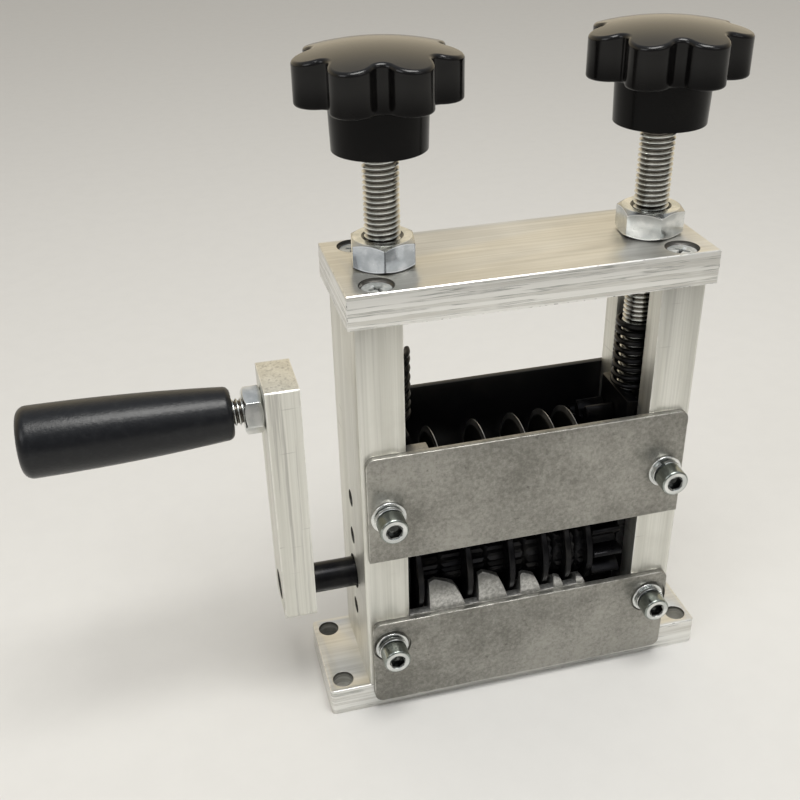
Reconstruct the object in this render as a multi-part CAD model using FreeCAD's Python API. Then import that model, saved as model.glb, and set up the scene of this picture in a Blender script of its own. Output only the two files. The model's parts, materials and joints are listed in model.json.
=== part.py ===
import FreeCAD, Part
import math
import os

from FreeCAD import Placement, Rotation, Vector

# Hand crank wire stripper, in millimetres.
# Origin at the centre of the base's underside. +X runs along the shafts, away from the crank,
# +Y to the back, where the cable goes in, and +Z up. The front, where the copper comes out, faces -Y.

os.makedirs("parts", exist_ok=True)

# Roller train: what sits side by side along both shafts
channel_widths = (14.2, 12.1, 9.4, 5.8, 5.4)
roller_radii = (8.6, 9.8, 11.2, 12.4, 13.0)
rim_thickness = 2.0
rim_radius = 16.0
roller_tooth_depth = 0.5
roller_tooth_count = 28
roller_vee_depth = 0.8
roller_vee_width = 3.0
blade_radius = 16.0
blade_thickness = 1.2
blade_bevel = 2.4
blade_edge = 0.2
blade_room_in_front = 1.5
spacer_radius = 8.5
gear_width = 9.5
gear_side_gap = 0.5
end_float = 0.45

# Gears
gear_module = 2.25
gear_teeth = 13
gear_pressure_angle = 20.0
gear_addendum = 1.0
gear_dedendum = 1.25
gear_backlash = 0.15

# Shafts, bushes and keys
shaft_radius = 4.8
shaft_core_radius = 6.0
shaft_running_gap = 0.03
bush_wall = 1.75
key_width = 3.0
key_height = 3.0
key_depth_in_shaft = 1.8
key_end_wall = 0.6
key_fit = 0.02
key_gap = 0.05
core_gap = 0.03

# Heights of the shafts
lower_axis_z = 44.0
closed_axis_distance = 29.3
rest_lift = 2.7

# Bearing blocks
block_width = 13.0
block_side_gap = 0.25
block_face_gap = 0.2
upper_block_below_axis = 11.0
upper_block_above_axis = 22.5
blocks_gap_closed = 0.5
block_chamfer = 0.6

# Columns
column_web = 3.6
column_flange = 7.5
column_height = 130.0
column_lip = 10.0
column_corner = 1.0
shaft_hole_radius = 5.6
web_hole_radius = 2.7
web_hole_pitch = 14.4

# Base and top plate
base_thickness = 10.0
base_foot = 13.0
base_hole_edge = 5.0
base_hole_spacing_y = 25.0
base_hole_radius = 3.3
base_corner = 1.5
top_plate_thickness = 10.0
top_overhang_x = 2.0
top_overhang_y = 2.0
plate_edge_break = 0.3

# Sheet steel plates at the front and back
sheet_thickness = 2.0
sheet_inset = 1.25
sheet_corner = 3.0
upper_plate_bottom_z = 61.5
upper_plate_top_z = 98.5
lower_plate_bottom_z = 4.0
lower_plate_top_z = 36.5
upper_screw_z = 78.0
lower_screw_z = 26.5
flange_screw_from_outside = 7.4
lower_spot_radius = 6.1
lower_spot_rise = 0.5
lower_spot_depth = 1.0
guide_hole_radii = (5.0, 4.0, 3.2, 2.4, 1.8)
guide_hole_chamfer = 0.5

# Combs that keep the stripped sleeve off the rollers and the blades
comb_block_gap = 0.3
comb_rim_gap = 0.6
comb_roller_gap = 0.8
lower_comb_floor_z = 36.8
lower_comb_tip_z = (47.6, 47.2, 44.2, 40.8, 39.4)
lower_comb_tooth_tip = 1.6
lower_comb_tip_lean = 1.9
lower_comb_tooth_shape = ((0.0, 0.93), (0.18, 1.0), (0.5, 0.87), (0.7, 0.75), (0.85, 0.42), (0.93, 0.2))
lower_comb_gear_z = 26.0
lower_comb_notch_gap = 1.2
lower_comb_side_gap = 0.2
upper_comb_depth = 5.3
upper_comb_bottom_z = 62.0
upper_comb_top_z = 93.5
upper_comb_ear_z = 97.2
upper_comb_ear_width = 7.2
upper_comb_slot_gap = 0.8
upper_comb_radial_gap = 0.5
upper_comb_gear_gap = 0.5
comb_screw_x = 26.0

# Fasteners
thread_gap = 0.05
cap_screw_radius = 2.5
cap_head_radius = 4.25
cap_head_height = 5.0
cap_socket_flats = 4.0
cap_socket_depth = 2.6
cap_head_round = 0.65
cap_socket_mouth = 0.35
cap_screw_length = 10.0
clearance_hole_radius = 2.75
flat_washer_radius = 5.4
flat_washer_thickness = 1.0
spring_washer_radius = 4.6
spring_washer_thickness = 2.0
spring_washer_slit = 1.0
washer_bore_gap = 0.15
sunk_hole_gap = 0.2
sunk_head_recess = 0.8
sunk_head_gap = 0.35
sunk_seat_gap = 0.1
tapped_depth_spare = 2.0
top_screw_radius = 2.5
top_screw_head_radius = 4.5
top_screw_length = 22.0
top_screw_inset_y = 3.2
base_screw_radius = 2.0
base_screw_head_radius = 3.6
base_screw_length = 20.0
base_screw_inset_y = 4.6
comb_screw_radius = 1.5
comb_screw_head_radius = 2.8
comb_screw_length = 20.0

# Adjusting screws with their star knobs, lock nuts and springs
adjuster_radius = 5.0
left_adjuster_from_outside = 12.7
right_adjuster_from_outside = 10.9
adjuster_running_gap = 0.05
neck_radius = 2.3
button_radius = 3.2
button_height = 3.0
neck_length = 3.6
slot_gap = 0.3
button_end_gap = 0.2
screw_seat_gap = 0.2
lock_nut_flats = 17.0
lock_nut_height = 8.0
lock_nut_gap = 0.05
lock_nut_chamfer_angle = 30.0
lock_nut_face_share = 0.95
lock_nut_turn_left = 50.5
lock_nut_turn_right = 53.6
knob_clear_of_plate = 32.3
knob_hub_height = 12.7
knob_hub_radius = 13.25
knob_hub_draft = 0.4
knob_head_height = 11.0
knob_crown = 3.2
knob_lobes = 7
knob_tip_radius = 22.0
knob_lobe_radius = 6.0
knob_valley_radius = 16.8
knob_edge_radius = 1.2
knob_insert_depth = 17.0
knob_turn_left = 29.3
knob_turn_right = 22.5
knob_bore_gap = 0.03
spring_outer_radius = 7.0
spring_wire_radius = 0.85
spring_working_pitch = 3.02
spring_closed_pitch = 2.35
spring_working_turns = 6
spring_closed_turns = 1
spring_seat_gap = 0.1

# Crank
arm_thickness = 10.0
arm_width = 19.5
arm_below_shaft = 8.0
arm_above_handle = 10.0
crank_radius = 65.3
arm_gap_to_column = 14.4
arm_edge_break = 0.8
arm_end_radius = 3.5
shaft_recess_in_arm = 2.5
arm_bore_gap = 0.02
grub_screw_radius = 2.5
grub_screw_length = 4.8
grub_socket_flats = 2.5
grub_socket_depth = 1.8
shaft_flat_depth = 0.35
shaft_flat_length = 6.0

# Handle that turns on its spindle
spindle_radius = 4.0
spindle_running_gap = 0.08
spindle_head_radius = 6.0
spindle_head_thickness = 3.0
handle_nut_flats = 12.5
handle_nut_height = 5.6
handle_nut_turn = 45.0
handle_nut_gap_to_grip = 3.1
grip_length = 58.5
grip_thin_radius = 7.8
grip_fat_radius = 10.2
grip_crown = 0.6
grip_thin_end_radius = 2.0
grip_fat_end_radius = 3.0
grip_counterbore_depth = 6.0
grip_counterbore_gap = 0.3
grip_plug_thickness = 2.0
grip_plug_recess = 0.4

# Worked out from the sizes above
stack_length = sum(channel_widths) + 6 * rim_thickness + gear_width
stack_start = -stack_length / 2
block_inner = stack_length / 2 + end_float
block_outer = block_inner + block_width
web_inner = block_outer + block_side_gap
half_span = web_inner + column_web
column_depth = 2 * (max(blade_radius, rim_radius) + blade_room_in_front)
lip_inner = web_inner - column_lip
cavity_half_depth = column_depth / 2 - column_flange
block_half_depth = cavity_half_depth - block_face_gap
front_y = -column_depth / 2
back_y = column_depth / 2
upper_axis_z = lower_axis_z + closed_axis_distance + rest_lift
column_top_z = base_thickness + column_height
top_z = column_top_z + top_plate_thickness
flange_screw_x = half_span - flange_screw_from_outside
top_screw_y = back_y - top_screw_inset_y
base_screw_y = back_y - base_screw_inset_y
left_adjuster_x = left_adjuster_from_outside - half_span
right_adjuster_x = half_span - right_adjuster_from_outside
lower_comb_depth = column_flange + block_face_gap - comb_block_gap
base_depth = column_depth
base_length = 2 * (half_span + base_foot)
base_hole_spacing_x = base_length - 2 * base_hole_edge
bush_radius = shaft_radius + shaft_running_gap + bush_wall
core_reach = stack_length / 2
lower_block_top_z = lower_axis_z + closed_axis_distance - upper_block_below_axis - blocks_gap_closed
upper_block_bottom_z = upper_axis_z - upper_block_below_axis
upper_block_top_z = upper_axis_z + upper_block_above_axis
sheet_half_width = half_span - sheet_inset
guide_plate_top_z = upper_plate_top_z


def channel_edges():
    # Left and right face of each channel, between two rims
    edges = []
    x = stack_start + rim_thickness
    for width in channel_widths:
        edges.append((x, x + width))
        x += width + rim_thickness
    return edges


channels = channel_edges()
channel_centres = [(left + right) / 2 for left, right in channels]
gear_start = channels[-1][1] + rim_thickness


def box(x0, x1, y0, y1, z0, z1):
    return Part.makeBox(x1 - x0, y1 - y0, z1 - z0, Vector(x0, y0, z0))


def rod_x(radius, x0, x1, y, z):
    return Part.makeCylinder(radius, x1 - x0, Vector(x0, y, z), Vector(1, 0, 0))


def rod_y(radius, y0, y1, x, z):
    return Part.makeCylinder(radius, y1 - y0, Vector(x, y0, z), Vector(0, 1, 0))


def rod_z(radius, z0, z1, x, y):
    return Part.makeCylinder(radius, z1 - z0, Vector(x, y, z0), Vector(0, 0, 1))


def cone_z(radius0, radius1, z0, z1, x, y):
    return Part.makeCone(radius0, radius1, z1 - z0, Vector(x, y, z0), Vector(0, 0, 1))


def polygon(points):
    return Part.Face(Part.makePolygon(list(points) + [points[0]]))


def hexagon_prism(flats, length, start, direction, turn):
    # Hexagon with its first flat's normal turned about the direction from the side axis
    corner = flats / 2 / math.cos(math.radians(30))
    ring = []
    for k in range(6):
        angle = math.radians(turn + 30 + 60 * k)
        ring.append(Vector(corner * math.cos(angle), corner * math.sin(angle), 0))
    prism = polygon(ring).extrude(Vector(0, 0, length))
    prism.Placement = Placement(start, Rotation(Vector(0, 0, 1), direction))
    return prism


def mirrored_x(shape):
    return shape.mirror(Vector(0, 0, 0), Vector(1, 0, 0))


def straight_edges(shape, direction, keep):
    # Straight edges along a direction whose middle passes the test
    chosen = []
    for edge in shape.Edges:
        if len(edge.Vertexes) != 2 or not isinstance(edge.Curve, Part.Line):
            continue
        along = edge.Vertexes[1].Point.sub(edge.Vertexes[0].Point).normalize()
        if abs(abs(along.dot(direction)) - 1) < 1e-6 and keep(edge.CenterOfMass):
            chosen.append(edge)
    return chosen


def outline_edges(shape, z):
    # Edges of the outer outline that lie in a level plane
    face = max((f for f in shape.Faces if abs(f.CenterOfMass.z - z) < 1e-6), key=lambda f: f.Area)
    return face.OuterWire.Edges


def save(node, shape):
    shape = shape.removeSplitter()
    shape.exportStep("parts/" + node + ".step")
    print(node, "solids", len(shape.Solids), "volume", round(shape.Volume, 1), "valid", shape.isValid())
    return shape


# Base plate: four bench holes, countersunk screws from below into the columns and the comb
def base_plate():
    plate = box(-base_length / 2, base_length / 2, -base_depth / 2, base_depth / 2, 0, base_thickness)
    plate = plate.makeFillet(base_corner, straight_edges(plate, Vector(0, 0, 1), lambda p: True))
    plate = plate.makeChamfer(plate_edge_break, outline_edges(plate, base_thickness))
    for sx in (-1, 1):
        for sy in (-1, 1):
            plate = plate.cut(rod_z(base_hole_radius, -1, base_thickness + 1,
                                    sx * base_hole_spacing_x / 2, sy * base_hole_spacing_y / 2))
    for x, y in flange_screw_places(base_screw_y):
        plate = plate.cut(sunk_hole(x, y, 0, base_thickness, -1, base_screw_radius, base_screw_head_radius))
    for x, y in comb_screw_places():
        plate = plate.cut(sunk_hole(x, y, 0, base_thickness, -1, comb_screw_radius, comb_screw_head_radius))
    return plate


def comb_screw_places():
    return [(side * comb_screw_x, front_y + lower_comb_depth / 2) for side in (-1, 1)]


def flange_screw_places(y):
    return [(sx * flange_screw_x, sy * y) for sx in (-1, 1) for sy in (-1, 1)]


def sunk_hole(x, y, mouth_z, thickness, out, radius, head_radius):
    # Clearance hole with a 90 degree countersink whose mouth faces up (out = 1) or down (out = -1)
    hole_radius = radius + sunk_hole_gap
    mouth_radius = head_radius + sunk_head_gap
    end = mouth_z - out * (thickness + 1)
    low, high = min(mouth_z, end), max(mouth_z, end)
    tool = rod_z(hole_radius, low, high, x, y)
    step = mouth_z - out * sunk_head_recess
    tool = tool.fuse(rod_z(mouth_radius, min(step, mouth_z + out), max(step, mouth_z + out), x, y))
    deep = step - out * (mouth_radius - hole_radius)
    if out > 0:
        return tool.fuse(cone_z(hole_radius, mouth_radius, deep, step, x, y))
    return tool.fuse(cone_z(mouth_radius, hole_radius, step, deep, x, y))


def sunk_screw(x, y, mouth_z, out, radius, head_radius, length):
    # Countersunk screw lying in such a hole, a little below the surface
    face = mouth_z - out * (sunk_head_recess + sunk_head_gap - sunk_seat_gap)
    under = face - out * (head_radius - radius)
    end = face - out * length
    shank = rod_z(radius, min(under, end), max(under, end), x, y)
    if out > 0:
        return shank.fuse(cone_z(radius, head_radius, under, face, x, y))
    return shank.fuse(cone_z(head_radius, radius, face, under, x, y))


# Columns: thick C channels that open towards each other and guide the bearing blocks
def right_column():
    outer = box(lip_inner, half_span, front_y, back_y, base_thickness, column_top_z)
    outer = outer.makeFillet(column_corner, straight_edges(outer, Vector(0, 0, 1), lambda p: p.x > lip_inner + 1))
    cavity = box(lip_inner - 1, web_inner, -cavity_half_depth, cavity_half_depth,
                 base_thickness - 1, column_top_z + 1)
    column = outer.cut(cavity)
    column = column.cut(rod_x(shaft_hole_radius, web_inner - 1, half_span + 1, 0, lower_axis_z))
    for step in (-1, 1, 2):
        column = column.cut(rod_x(web_hole_radius, web_inner - 1, half_span + 1, 0,
                                  lower_axis_z + step * web_hole_pitch))
    tapped = cap_screw_radius + thread_gap
    for z in (lower_screw_z, upper_screw_z):
        column = column.cut(rod_y(tapped, front_y - 1, -cavity_half_depth + 1, flange_screw_x, z))
        column = column.cut(rod_y(tapped, cavity_half_depth - 1, back_y + 1, flange_screw_x, z))
    base_depth_tapped = base_screw_length - base_thickness + tapped_depth_spare
    top_depth_tapped = top_screw_length - top_plate_thickness + tapped_depth_spare
    for side in (-1, 1):
        column = column.cut(rod_z(base_screw_radius + thread_gap, base_thickness - 1,
                                  base_thickness + base_depth_tapped, flange_screw_x, side * base_screw_y))
        column = column.cut(rod_z(top_screw_radius + thread_gap, column_top_z - top_depth_tapped,
                                  column_top_z + 1, flange_screw_x, side * top_screw_y))
    return column


# Top plate: carries the two adjusting screws in its threads
def top_plate():
    x = half_span + top_overhang_x
    y = column_depth / 2 + top_overhang_y
    plate = box(-x, x, -y, y, column_top_z, top_z)
    plate = plate.makeChamfer(plate_edge_break, outline_edges(plate, top_z))
    for x in (left_adjuster_x, right_adjuster_x):
        plate = plate.cut(rod_z(adjuster_radius + adjuster_running_gap, column_top_z - 1, top_z + 1, x, 0))
    for x, y in flange_screw_places(top_screw_y):
        plate = plate.cut(sunk_hole(x, y, top_z, top_plate_thickness, 1, top_screw_radius, top_screw_head_radius))
    return plate


def sheet(z0, z1, y0, y1, round_low, round_high):
    plate = box(-sheet_half_width, sheet_half_width, y0, y1, z0, z1)
    middle = (z0 + z1) / 2
    corners = straight_edges(plate, Vector(0, 1, 0), lambda p: (p.z > middle) and round_high)
    corners += straight_edges(plate, Vector(0, 1, 0), lambda p: (p.z < middle) and round_low)
    return plate.makeFillet(sheet_corner, corners)


def pierced(plate, zs, y0, y1):
    for z in zs:
        for sx in (-1, 1):
            plate = plate.cut(rod_y(clearance_hole_radius, y0 - 1, y1 + 1, sx * flange_screw_x, z))
    return plate


# Front plates, above and below the slot where the copper comes out. The lower one has a spot face
# round each screw, a little higher than the washer in it.
def upper_front_plate():
    y0 = front_y - sheet_thickness
    plate = sheet(upper_plate_bottom_z, upper_plate_top_z, y0, front_y, False, True)
    return pierced(plate, [upper_screw_z], y0, front_y)


def lower_front_plate():
    y0 = front_y - sheet_thickness
    plate = sheet(lower_plate_bottom_z, lower_plate_top_z, y0, front_y, True, True)
    for sx in (-1, 1):
        plate = plate.cut(rod_y(lower_spot_radius, y0 - 1, y0 + lower_spot_depth, sx * flange_screw_x,
                                lower_screw_z + lower_spot_rise))
    return pierced(plate, [lower_screw_z], y0, front_y)


# Guide plate at the back: one hole for each channel, from thick cable to thin
def rear_guide_plate():
    y1 = back_y + sheet_thickness
    plate = sheet(lower_plate_bottom_z, guide_plate_top_z, back_y, y1, True, True)
    plate = pierced(plate, [lower_screw_z, upper_screw_z], back_y, y1)
    for x, roller, radius in zip(channel_centres, roller_radii, guide_hole_radii):
        z = lower_axis_z + roller + radius
        plate = plate.cut(rod_y(radius, back_y - 1, y1 + 1, x, z))
        mouth = Part.makeCone(radius, radius + guide_hole_chamfer, guide_hole_chamfer,
                              Vector(x, y1 - guide_hole_chamfer, z), Vector(0, 1, 0))
        plate = plate.cut(mouth)
    return plate


# Lower comb: a bar hollowed to clear the rims, with a tooth in front of each roller. A tooth leans back
# to a thin tip, flares to the bar's full depth behind, and falls away towards the gear side.
def lower_comb():
    back = front_y + lower_comb_depth
    half = lip_inner - lower_comb_side_gap
    comb = box(-half, half, front_y, back, base_thickness, lower_comb_floor_z)
    comb = comb.cut(rod_x(rim_radius + comb_rim_gap, -half - 1, half + 1, 0, lower_axis_z))
    for (left, right), radius, tip_z in zip(channels, roller_radii, lower_comb_tip_z):
        tooth = comb_tooth(left + lower_comb_notch_gap, right - lower_comb_notch_gap, tip_z, back)
        comb = comb.fuse(tooth.cut(rod_x(radius + comb_roller_gap, left, right, 0, lower_axis_z)))
    gear_side = channels[-1][1] - lower_comb_notch_gap
    comb = comb.cut(box(gear_side, half + 1, front_y - 1, back + 1, lower_comb_gear_z, lower_comb_floor_z + 1))
    for x, y in comb_screw_places():
        depth = comb_screw_length - base_thickness + tapped_depth_spare
        comb = comb.cut(rod_z(comb_screw_radius + thread_gap, base_thickness - 1, base_thickness + depth, x, y))
    return comb


def comb_tooth(x0, x1, tip_z, back):
    # Side view: nearly upright front, thin tip, and a back that sweeps out to the bar
    foot = (base_thickness + lower_comb_floor_z) / 2
    floor = lower_comb_floor_z
    rise = tip_z - floor
    tip_front = front_y + lower_comb_tip_lean * rise / (max(lower_comb_tip_z) - floor)
    tip_back = tip_front + lower_comb_tooth_tip
    a = Vector(0, front_y, foot)
    b = Vector(0, front_y, floor)
    front_middle = Vector(0, front_y + 0.28 * (tip_front - front_y), floor + 0.55 * rise)
    c = Vector(0, tip_front, tip_z)
    d = Vector(0, tip_back, tip_z)
    back_middle = Vector(0, tip_back + 0.24 * (back - tip_back), floor + 0.4 * rise)
    e = Vector(0, back, floor)
    f = Vector(0, back, foot)
    side = [Part.makeLine(a, b), Part.Arc(b, front_middle, c).toShape(), Part.makeLine(c, d),
            Part.Arc(d, back_middle, e).toShape(), Part.makeLine(e, f), Part.makeLine(f, a)]
    tooth = Part.Face(Part.Wire(side)).extrude(Vector(x1 - x0, 0, 0))
    tooth.translate(Vector(x0, 0, 0))
    width = x1 - x0
    crest = [Vector(x0 + across * width, front_y - 1, floor + up * rise) for across, up in lower_comb_tooth_shape]
    front = polygon([Vector(x0, front_y - 1, foot)] + crest
                    + [Vector(x1, front_y - 1, floor), Vector(x1, front_y - 1, foot)])
    return tooth.common(front.extrude(Vector(0, back - front_y + 2, 0)))


# Upper comb: a bar behind the upper plate, slotted for the blades and short of the gears, with an ear
# at its left end
def upper_comb():
    left = -lip_inner + lower_comb_side_gap
    right = gear_start - upper_comb_gear_gap
    back = front_y + upper_comb_depth
    comb = box(left, right, front_y, back, upper_comb_bottom_z, upper_comb_top_z)
    comb = comb.fuse(box(left, left + upper_comb_ear_width, front_y, back, upper_comb_bottom_z, upper_comb_ear_z))
    slot_y = -(blade_radius + upper_comb_radial_gap)
    for x in channel_centres:
        half = blade_thickness / 2 + upper_comb_slot_gap
        comb = comb.cut(box(x - half, x + half, slot_y, back + 1, upper_comb_bottom_z - 1, upper_comb_top_z + 1))
    return comb


# Bearing blocks
def block_body(z0, z1):
    block = box(block_inner, block_outer, -block_half_depth, block_half_depth, z0, z1)
    return block.makeChamfer(block_chamfer, straight_edges(block, Vector(0, 0, 1), lambda p: True))


def lower_block_right():
    block = block_body(base_thickness, lower_block_top_z)
    return block.cut(rod_x(bush_radius, block_inner - 1, block_outer + 1, 0, lower_axis_z))


# The upper blocks hang on the adjusting screws, whose buttons sit in a slot open to the front
def upper_block(x):
    block = block_body(upper_block_bottom_z, upper_block_top_z)
    block = block.cut(rod_x(bush_radius, block_inner - 1, block_outer + 1, 0, upper_axis_z))
    block = block.cut(key_slot(x, neck_radius + slot_gap, button_top_z() - 1, upper_block_top_z + 1))
    low = button_top_z() - button_height - button_end_gap
    return block.cut(key_slot(x, button_radius + slot_gap, low, button_top_z() + button_end_gap))


def key_slot(x, half_width, z0, z1):
    slot = box(x - half_width, x + half_width, -block_half_depth - 1, 0, z0, z1)
    return slot.fuse(rod_z(half_width, z0, z1, x, 0))


def button_top_z():
    return upper_block_top_z + screw_seat_gap - neck_length


def bush(z):
    outer = rod_x(bush_radius, block_inner, block_outer, 0, z)
    return outer.cut(rod_x(shaft_radius + shaft_running_gap, block_inner - 1, block_outer + 1, 0, z))


# Shafts: thin journals in the bushes, a thicker core with a key between the blocks
def shaft(z, left_end, right_end):
    body = rod_x(shaft_radius, left_end, right_end, 0, z)
    body = body.fuse(rod_x(shaft_core_radius, -core_reach, core_reach, 0, z))
    return body.cut(key_seat(z, shaft_core_radius - key_depth_in_shaft, key_width / 2))


def key_seat(z, y0, half_width):
    half = core_reach - key_end_wall
    return box(-half, half, y0, y0 + key_height + 1, z - half_width, z + half_width)


def shaft_key(z):
    half = core_reach - key_end_wall - key_fit
    y0 = shaft_core_radius - key_depth_in_shaft + key_fit
    half_width = key_width / 2 - key_fit
    return box(-half, half, y0, y0 + key_height, z - half_width, z + half_width)


def keyed_bore(z, x0, x1):
    # What is cut out of everything that the key drives
    top = shaft_core_radius - key_depth_in_shaft + key_fit + key_height + key_gap
    bore = rod_x(shaft_core_radius + core_gap, x0 - 1, x1 + 1, 0, z)
    return bore.fuse(box(x0 - 1, x1 + 1, 0, top, z - key_width / 2 - key_gap, z + key_width / 2 + key_gap))


def rims():
    # Six equal rims that part the channels
    discs = []
    x = stack_start
    for width in channel_widths + (0.0,):
        disc = rod_x(rim_radius, x, x + rim_thickness, 0, lower_axis_z)
        disc = disc.makeChamfer(0.3, [e for e in disc.Edges if isinstance(e.Curve, Part.Circle)])
        discs.append(disc.cut(keyed_bore(lower_axis_z, x, x + rim_thickness)))
        x += rim_thickness + width
    return Part.makeCompound(discs)


# Feed rollers: toothed lengthwise to grip the cable, with a shallow vee that centres it
def feed_roller(index):
    left, right = channels[index]
    radius = roller_radii[index]
    ring = []
    for k in range(2 * roller_tooth_count):
        angle = math.pi * k / roller_tooth_count
        reach = radius if k % 2 == 0 else radius - roller_tooth_depth
        ring.append(Vector(left, reach * math.cos(angle), reach * math.sin(angle)))
    roller = polygon(ring).extrude(Vector(right - left, 0, 0))
    centre = channel_centres[index]
    half = roller_vee_width / 2
    vee = polygon([Vector(centre - half, radius + 0.1, 0), Vector(centre + half, radius + 0.1, 0),
                   Vector(centre, radius - roller_vee_depth, 0)])
    roller = roller.cut(vee.revolve(Vector(0, 0, 0), Vector(1, 0, 0), 360))
    roller.translate(Vector(0, 0, lower_axis_z))
    return roller.cut(keyed_bore(lower_axis_z, left, right))


# Blades: round knives ground to an edge from both sides
def blade(index):
    x = channel_centres[index]
    half = blade_thickness / 2
    edge = blade_edge / 2
    shoulder = blade_radius - blade_bevel
    profile = polygon([Vector(x - half, 0, 0), Vector(x - half, shoulder, 0), Vector(x - edge, blade_radius, 0),
                       Vector(x + edge, blade_radius, 0), Vector(x + half, shoulder, 0), Vector(x + half, 0, 0)])
    disc = profile.revolve(Vector(0, 0, 0), Vector(1, 0, 0), 360)
    disc.translate(Vector(0, 0, upper_axis_z))
    return disc.cut(keyed_bore(upper_axis_z, x - half, x + half))


def spacer_spans():
    half = blade_thickness / 2
    starts = [stack_start] + [x + half for x in channel_centres]
    ends = [x - half for x in channel_centres] + [gear_start + gear_side_gap]
    return list(zip(starts, ends))


def blade_spacer(index):
    x0, x1 = spacer_spans()[index]
    return rod_x(spacer_radius, x0, x1, 0, upper_axis_z).cut(keyed_bore(upper_axis_z, x0, x1))


# Involute spur gear, a tooth pointing up
def spur_gear(z, x0, x1):
    pitch_radius = gear_module * gear_teeth / 2
    base_radius = pitch_radius * math.cos(math.radians(gear_pressure_angle))
    tip_radius = pitch_radius + gear_addendum * gear_module
    root_radius = pitch_radius - gear_dedendum * gear_module
    half_tooth = math.pi / (2 * gear_teeth) - gear_backlash / pitch_radius

    def roll(radius):
        pressure = math.acos(min(1.0, base_radius / radius))
        return math.tan(pressure) - pressure

    def flank(radius, side, centre):
        angle = centre + side * (half_tooth + roll(pitch_radius) - roll(max(radius, base_radius)))
        return Vector(x0, radius * math.cos(angle), radius * math.sin(angle))

    edges = []
    pitch_angle = 2 * math.pi / gear_teeth
    middle_radius = (base_radius + tip_radius) / 2
    for k in range(gear_teeth):
        centre = math.pi / 2 + k * pitch_angle
        root_in = flank(root_radius, -1, centre)
        base_in = flank(base_radius, -1, centre)
        tip_in = flank(tip_radius, -1, centre)
        tip_out = flank(tip_radius, 1, centre)
        base_out = flank(base_radius, 1, centre)
        root_out = flank(root_radius, 1, centre)
        next_in = flank(root_radius, -1, centre + pitch_angle)
        edges.append(Part.makeLine(root_in, base_in))
        edges.append(Part.Arc(base_in, flank(middle_radius, -1, centre), tip_in).toShape())
        edges.append(Part.makeLine(tip_in, tip_out))
        edges.append(Part.Arc(tip_out, flank(middle_radius, 1, centre), base_out).toShape())
        edges.append(Part.makeLine(base_out, root_out))
        edges.append(Part.makeLine(root_out, next_in))
    gear = Part.Face(Part.Wire(edges)).extrude(Vector(x1 - x0, 0, 0))
    gear.translate(Vector(0, 0, z))
    return gear.cut(keyed_bore(z, x0, x1))


# Socket head screws with flat and spring washers on the front and back plates
def plate_screw_places():
    places = []
    for sx in (-1, 1):
        for z in (lower_screw_z, upper_screw_z):
            spot = lower_spot_depth if z == lower_screw_z else 0.0
            places.append((sx * flange_screw_x, front_y - sheet_thickness + spot, z, -1))
            places.append((sx * flange_screw_x, back_y + sheet_thickness, z, 1))
    return places


def along_y(shape, x, y, z, out):
    # A fastener built along +Z with its seat at the origin, laid on a face that looks along out
    turn = Rotation(Vector(0, 0, 1), Vector(0, out, 0))
    shape.Placement = Placement(Vector(x, y, z), turn)
    return shape


def cap_screw():
    seat = flat_washer_thickness + spring_washer_thickness
    top = seat + cap_head_height
    head = Part.makeCylinder(cap_head_radius, cap_head_height, Vector(0, 0, seat))
    head = head.makeFillet(cap_head_round, [e for e in head.Edges if abs(e.CenterOfMass.z - top) < 1e-6
                                            and isinstance(e.Curve, Part.Circle)])
    socket = hexagon_prism(cap_socket_flats, cap_socket_depth + 1, Vector(0, 0, top - cap_socket_depth),
                           Vector(0, 0, 1), 0)
    corner = cap_socket_flats / 2 / math.cos(math.radians(30))
    mouth = cone_z(corner - cap_socket_mouth, corner + cap_socket_mouth, top - cap_socket_mouth,
                   top + cap_socket_mouth, 0, 0)
    shank = Part.makeCylinder(cap_screw_radius, cap_screw_length, Vector(0, 0, seat - cap_screw_length))
    return head.cut(socket).cut(mouth).fuse(shank)


def flat_washer():
    ring = Part.makeCylinder(flat_washer_radius, flat_washer_thickness)
    return ring.cut(Part.makeCylinder(cap_screw_radius + washer_bore_gap, flat_washer_thickness))


def spring_washer():
    base = Vector(0, 0, flat_washer_thickness)
    ring = Part.makeCylinder(spring_washer_radius, spring_washer_thickness, base)
    ring = ring.cut(Part.makeCylinder(cap_screw_radius + washer_bore_gap, spring_washer_thickness, base))
    slit = box(0, spring_washer_radius + 1, -spring_washer_slit / 2, spring_washer_slit / 2,
               flat_washer_thickness - 1, flat_washer_thickness + spring_washer_thickness + 1)
    slit.rotate(Vector(0, 0, 0), Vector(0, 0, 1), 35)
    return ring.cut(slit)


def on_plates(make):
    return Part.makeCompound([along_y(make(), x, y, z, out) for x, y, z, out in plate_screw_places()])


# Adjusting screws: threaded rod with a turned neck and button at the foot
def adjusting_screw(x):
    top = knob_bottom_z() + knob_insert_depth
    shoulder = upper_block_top_z + screw_seat_gap
    rod = rod_z(adjuster_radius, shoulder, top, x, 0)
    rod = rod.fuse(rod_z(neck_radius, button_top_z(), shoulder, x, 0))
    return rod.fuse(rod_z(button_radius, button_top_z() - button_height, button_top_z(), x, 0))


def knob_bottom_z():
    return top_z + knob_clear_of_plate


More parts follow.
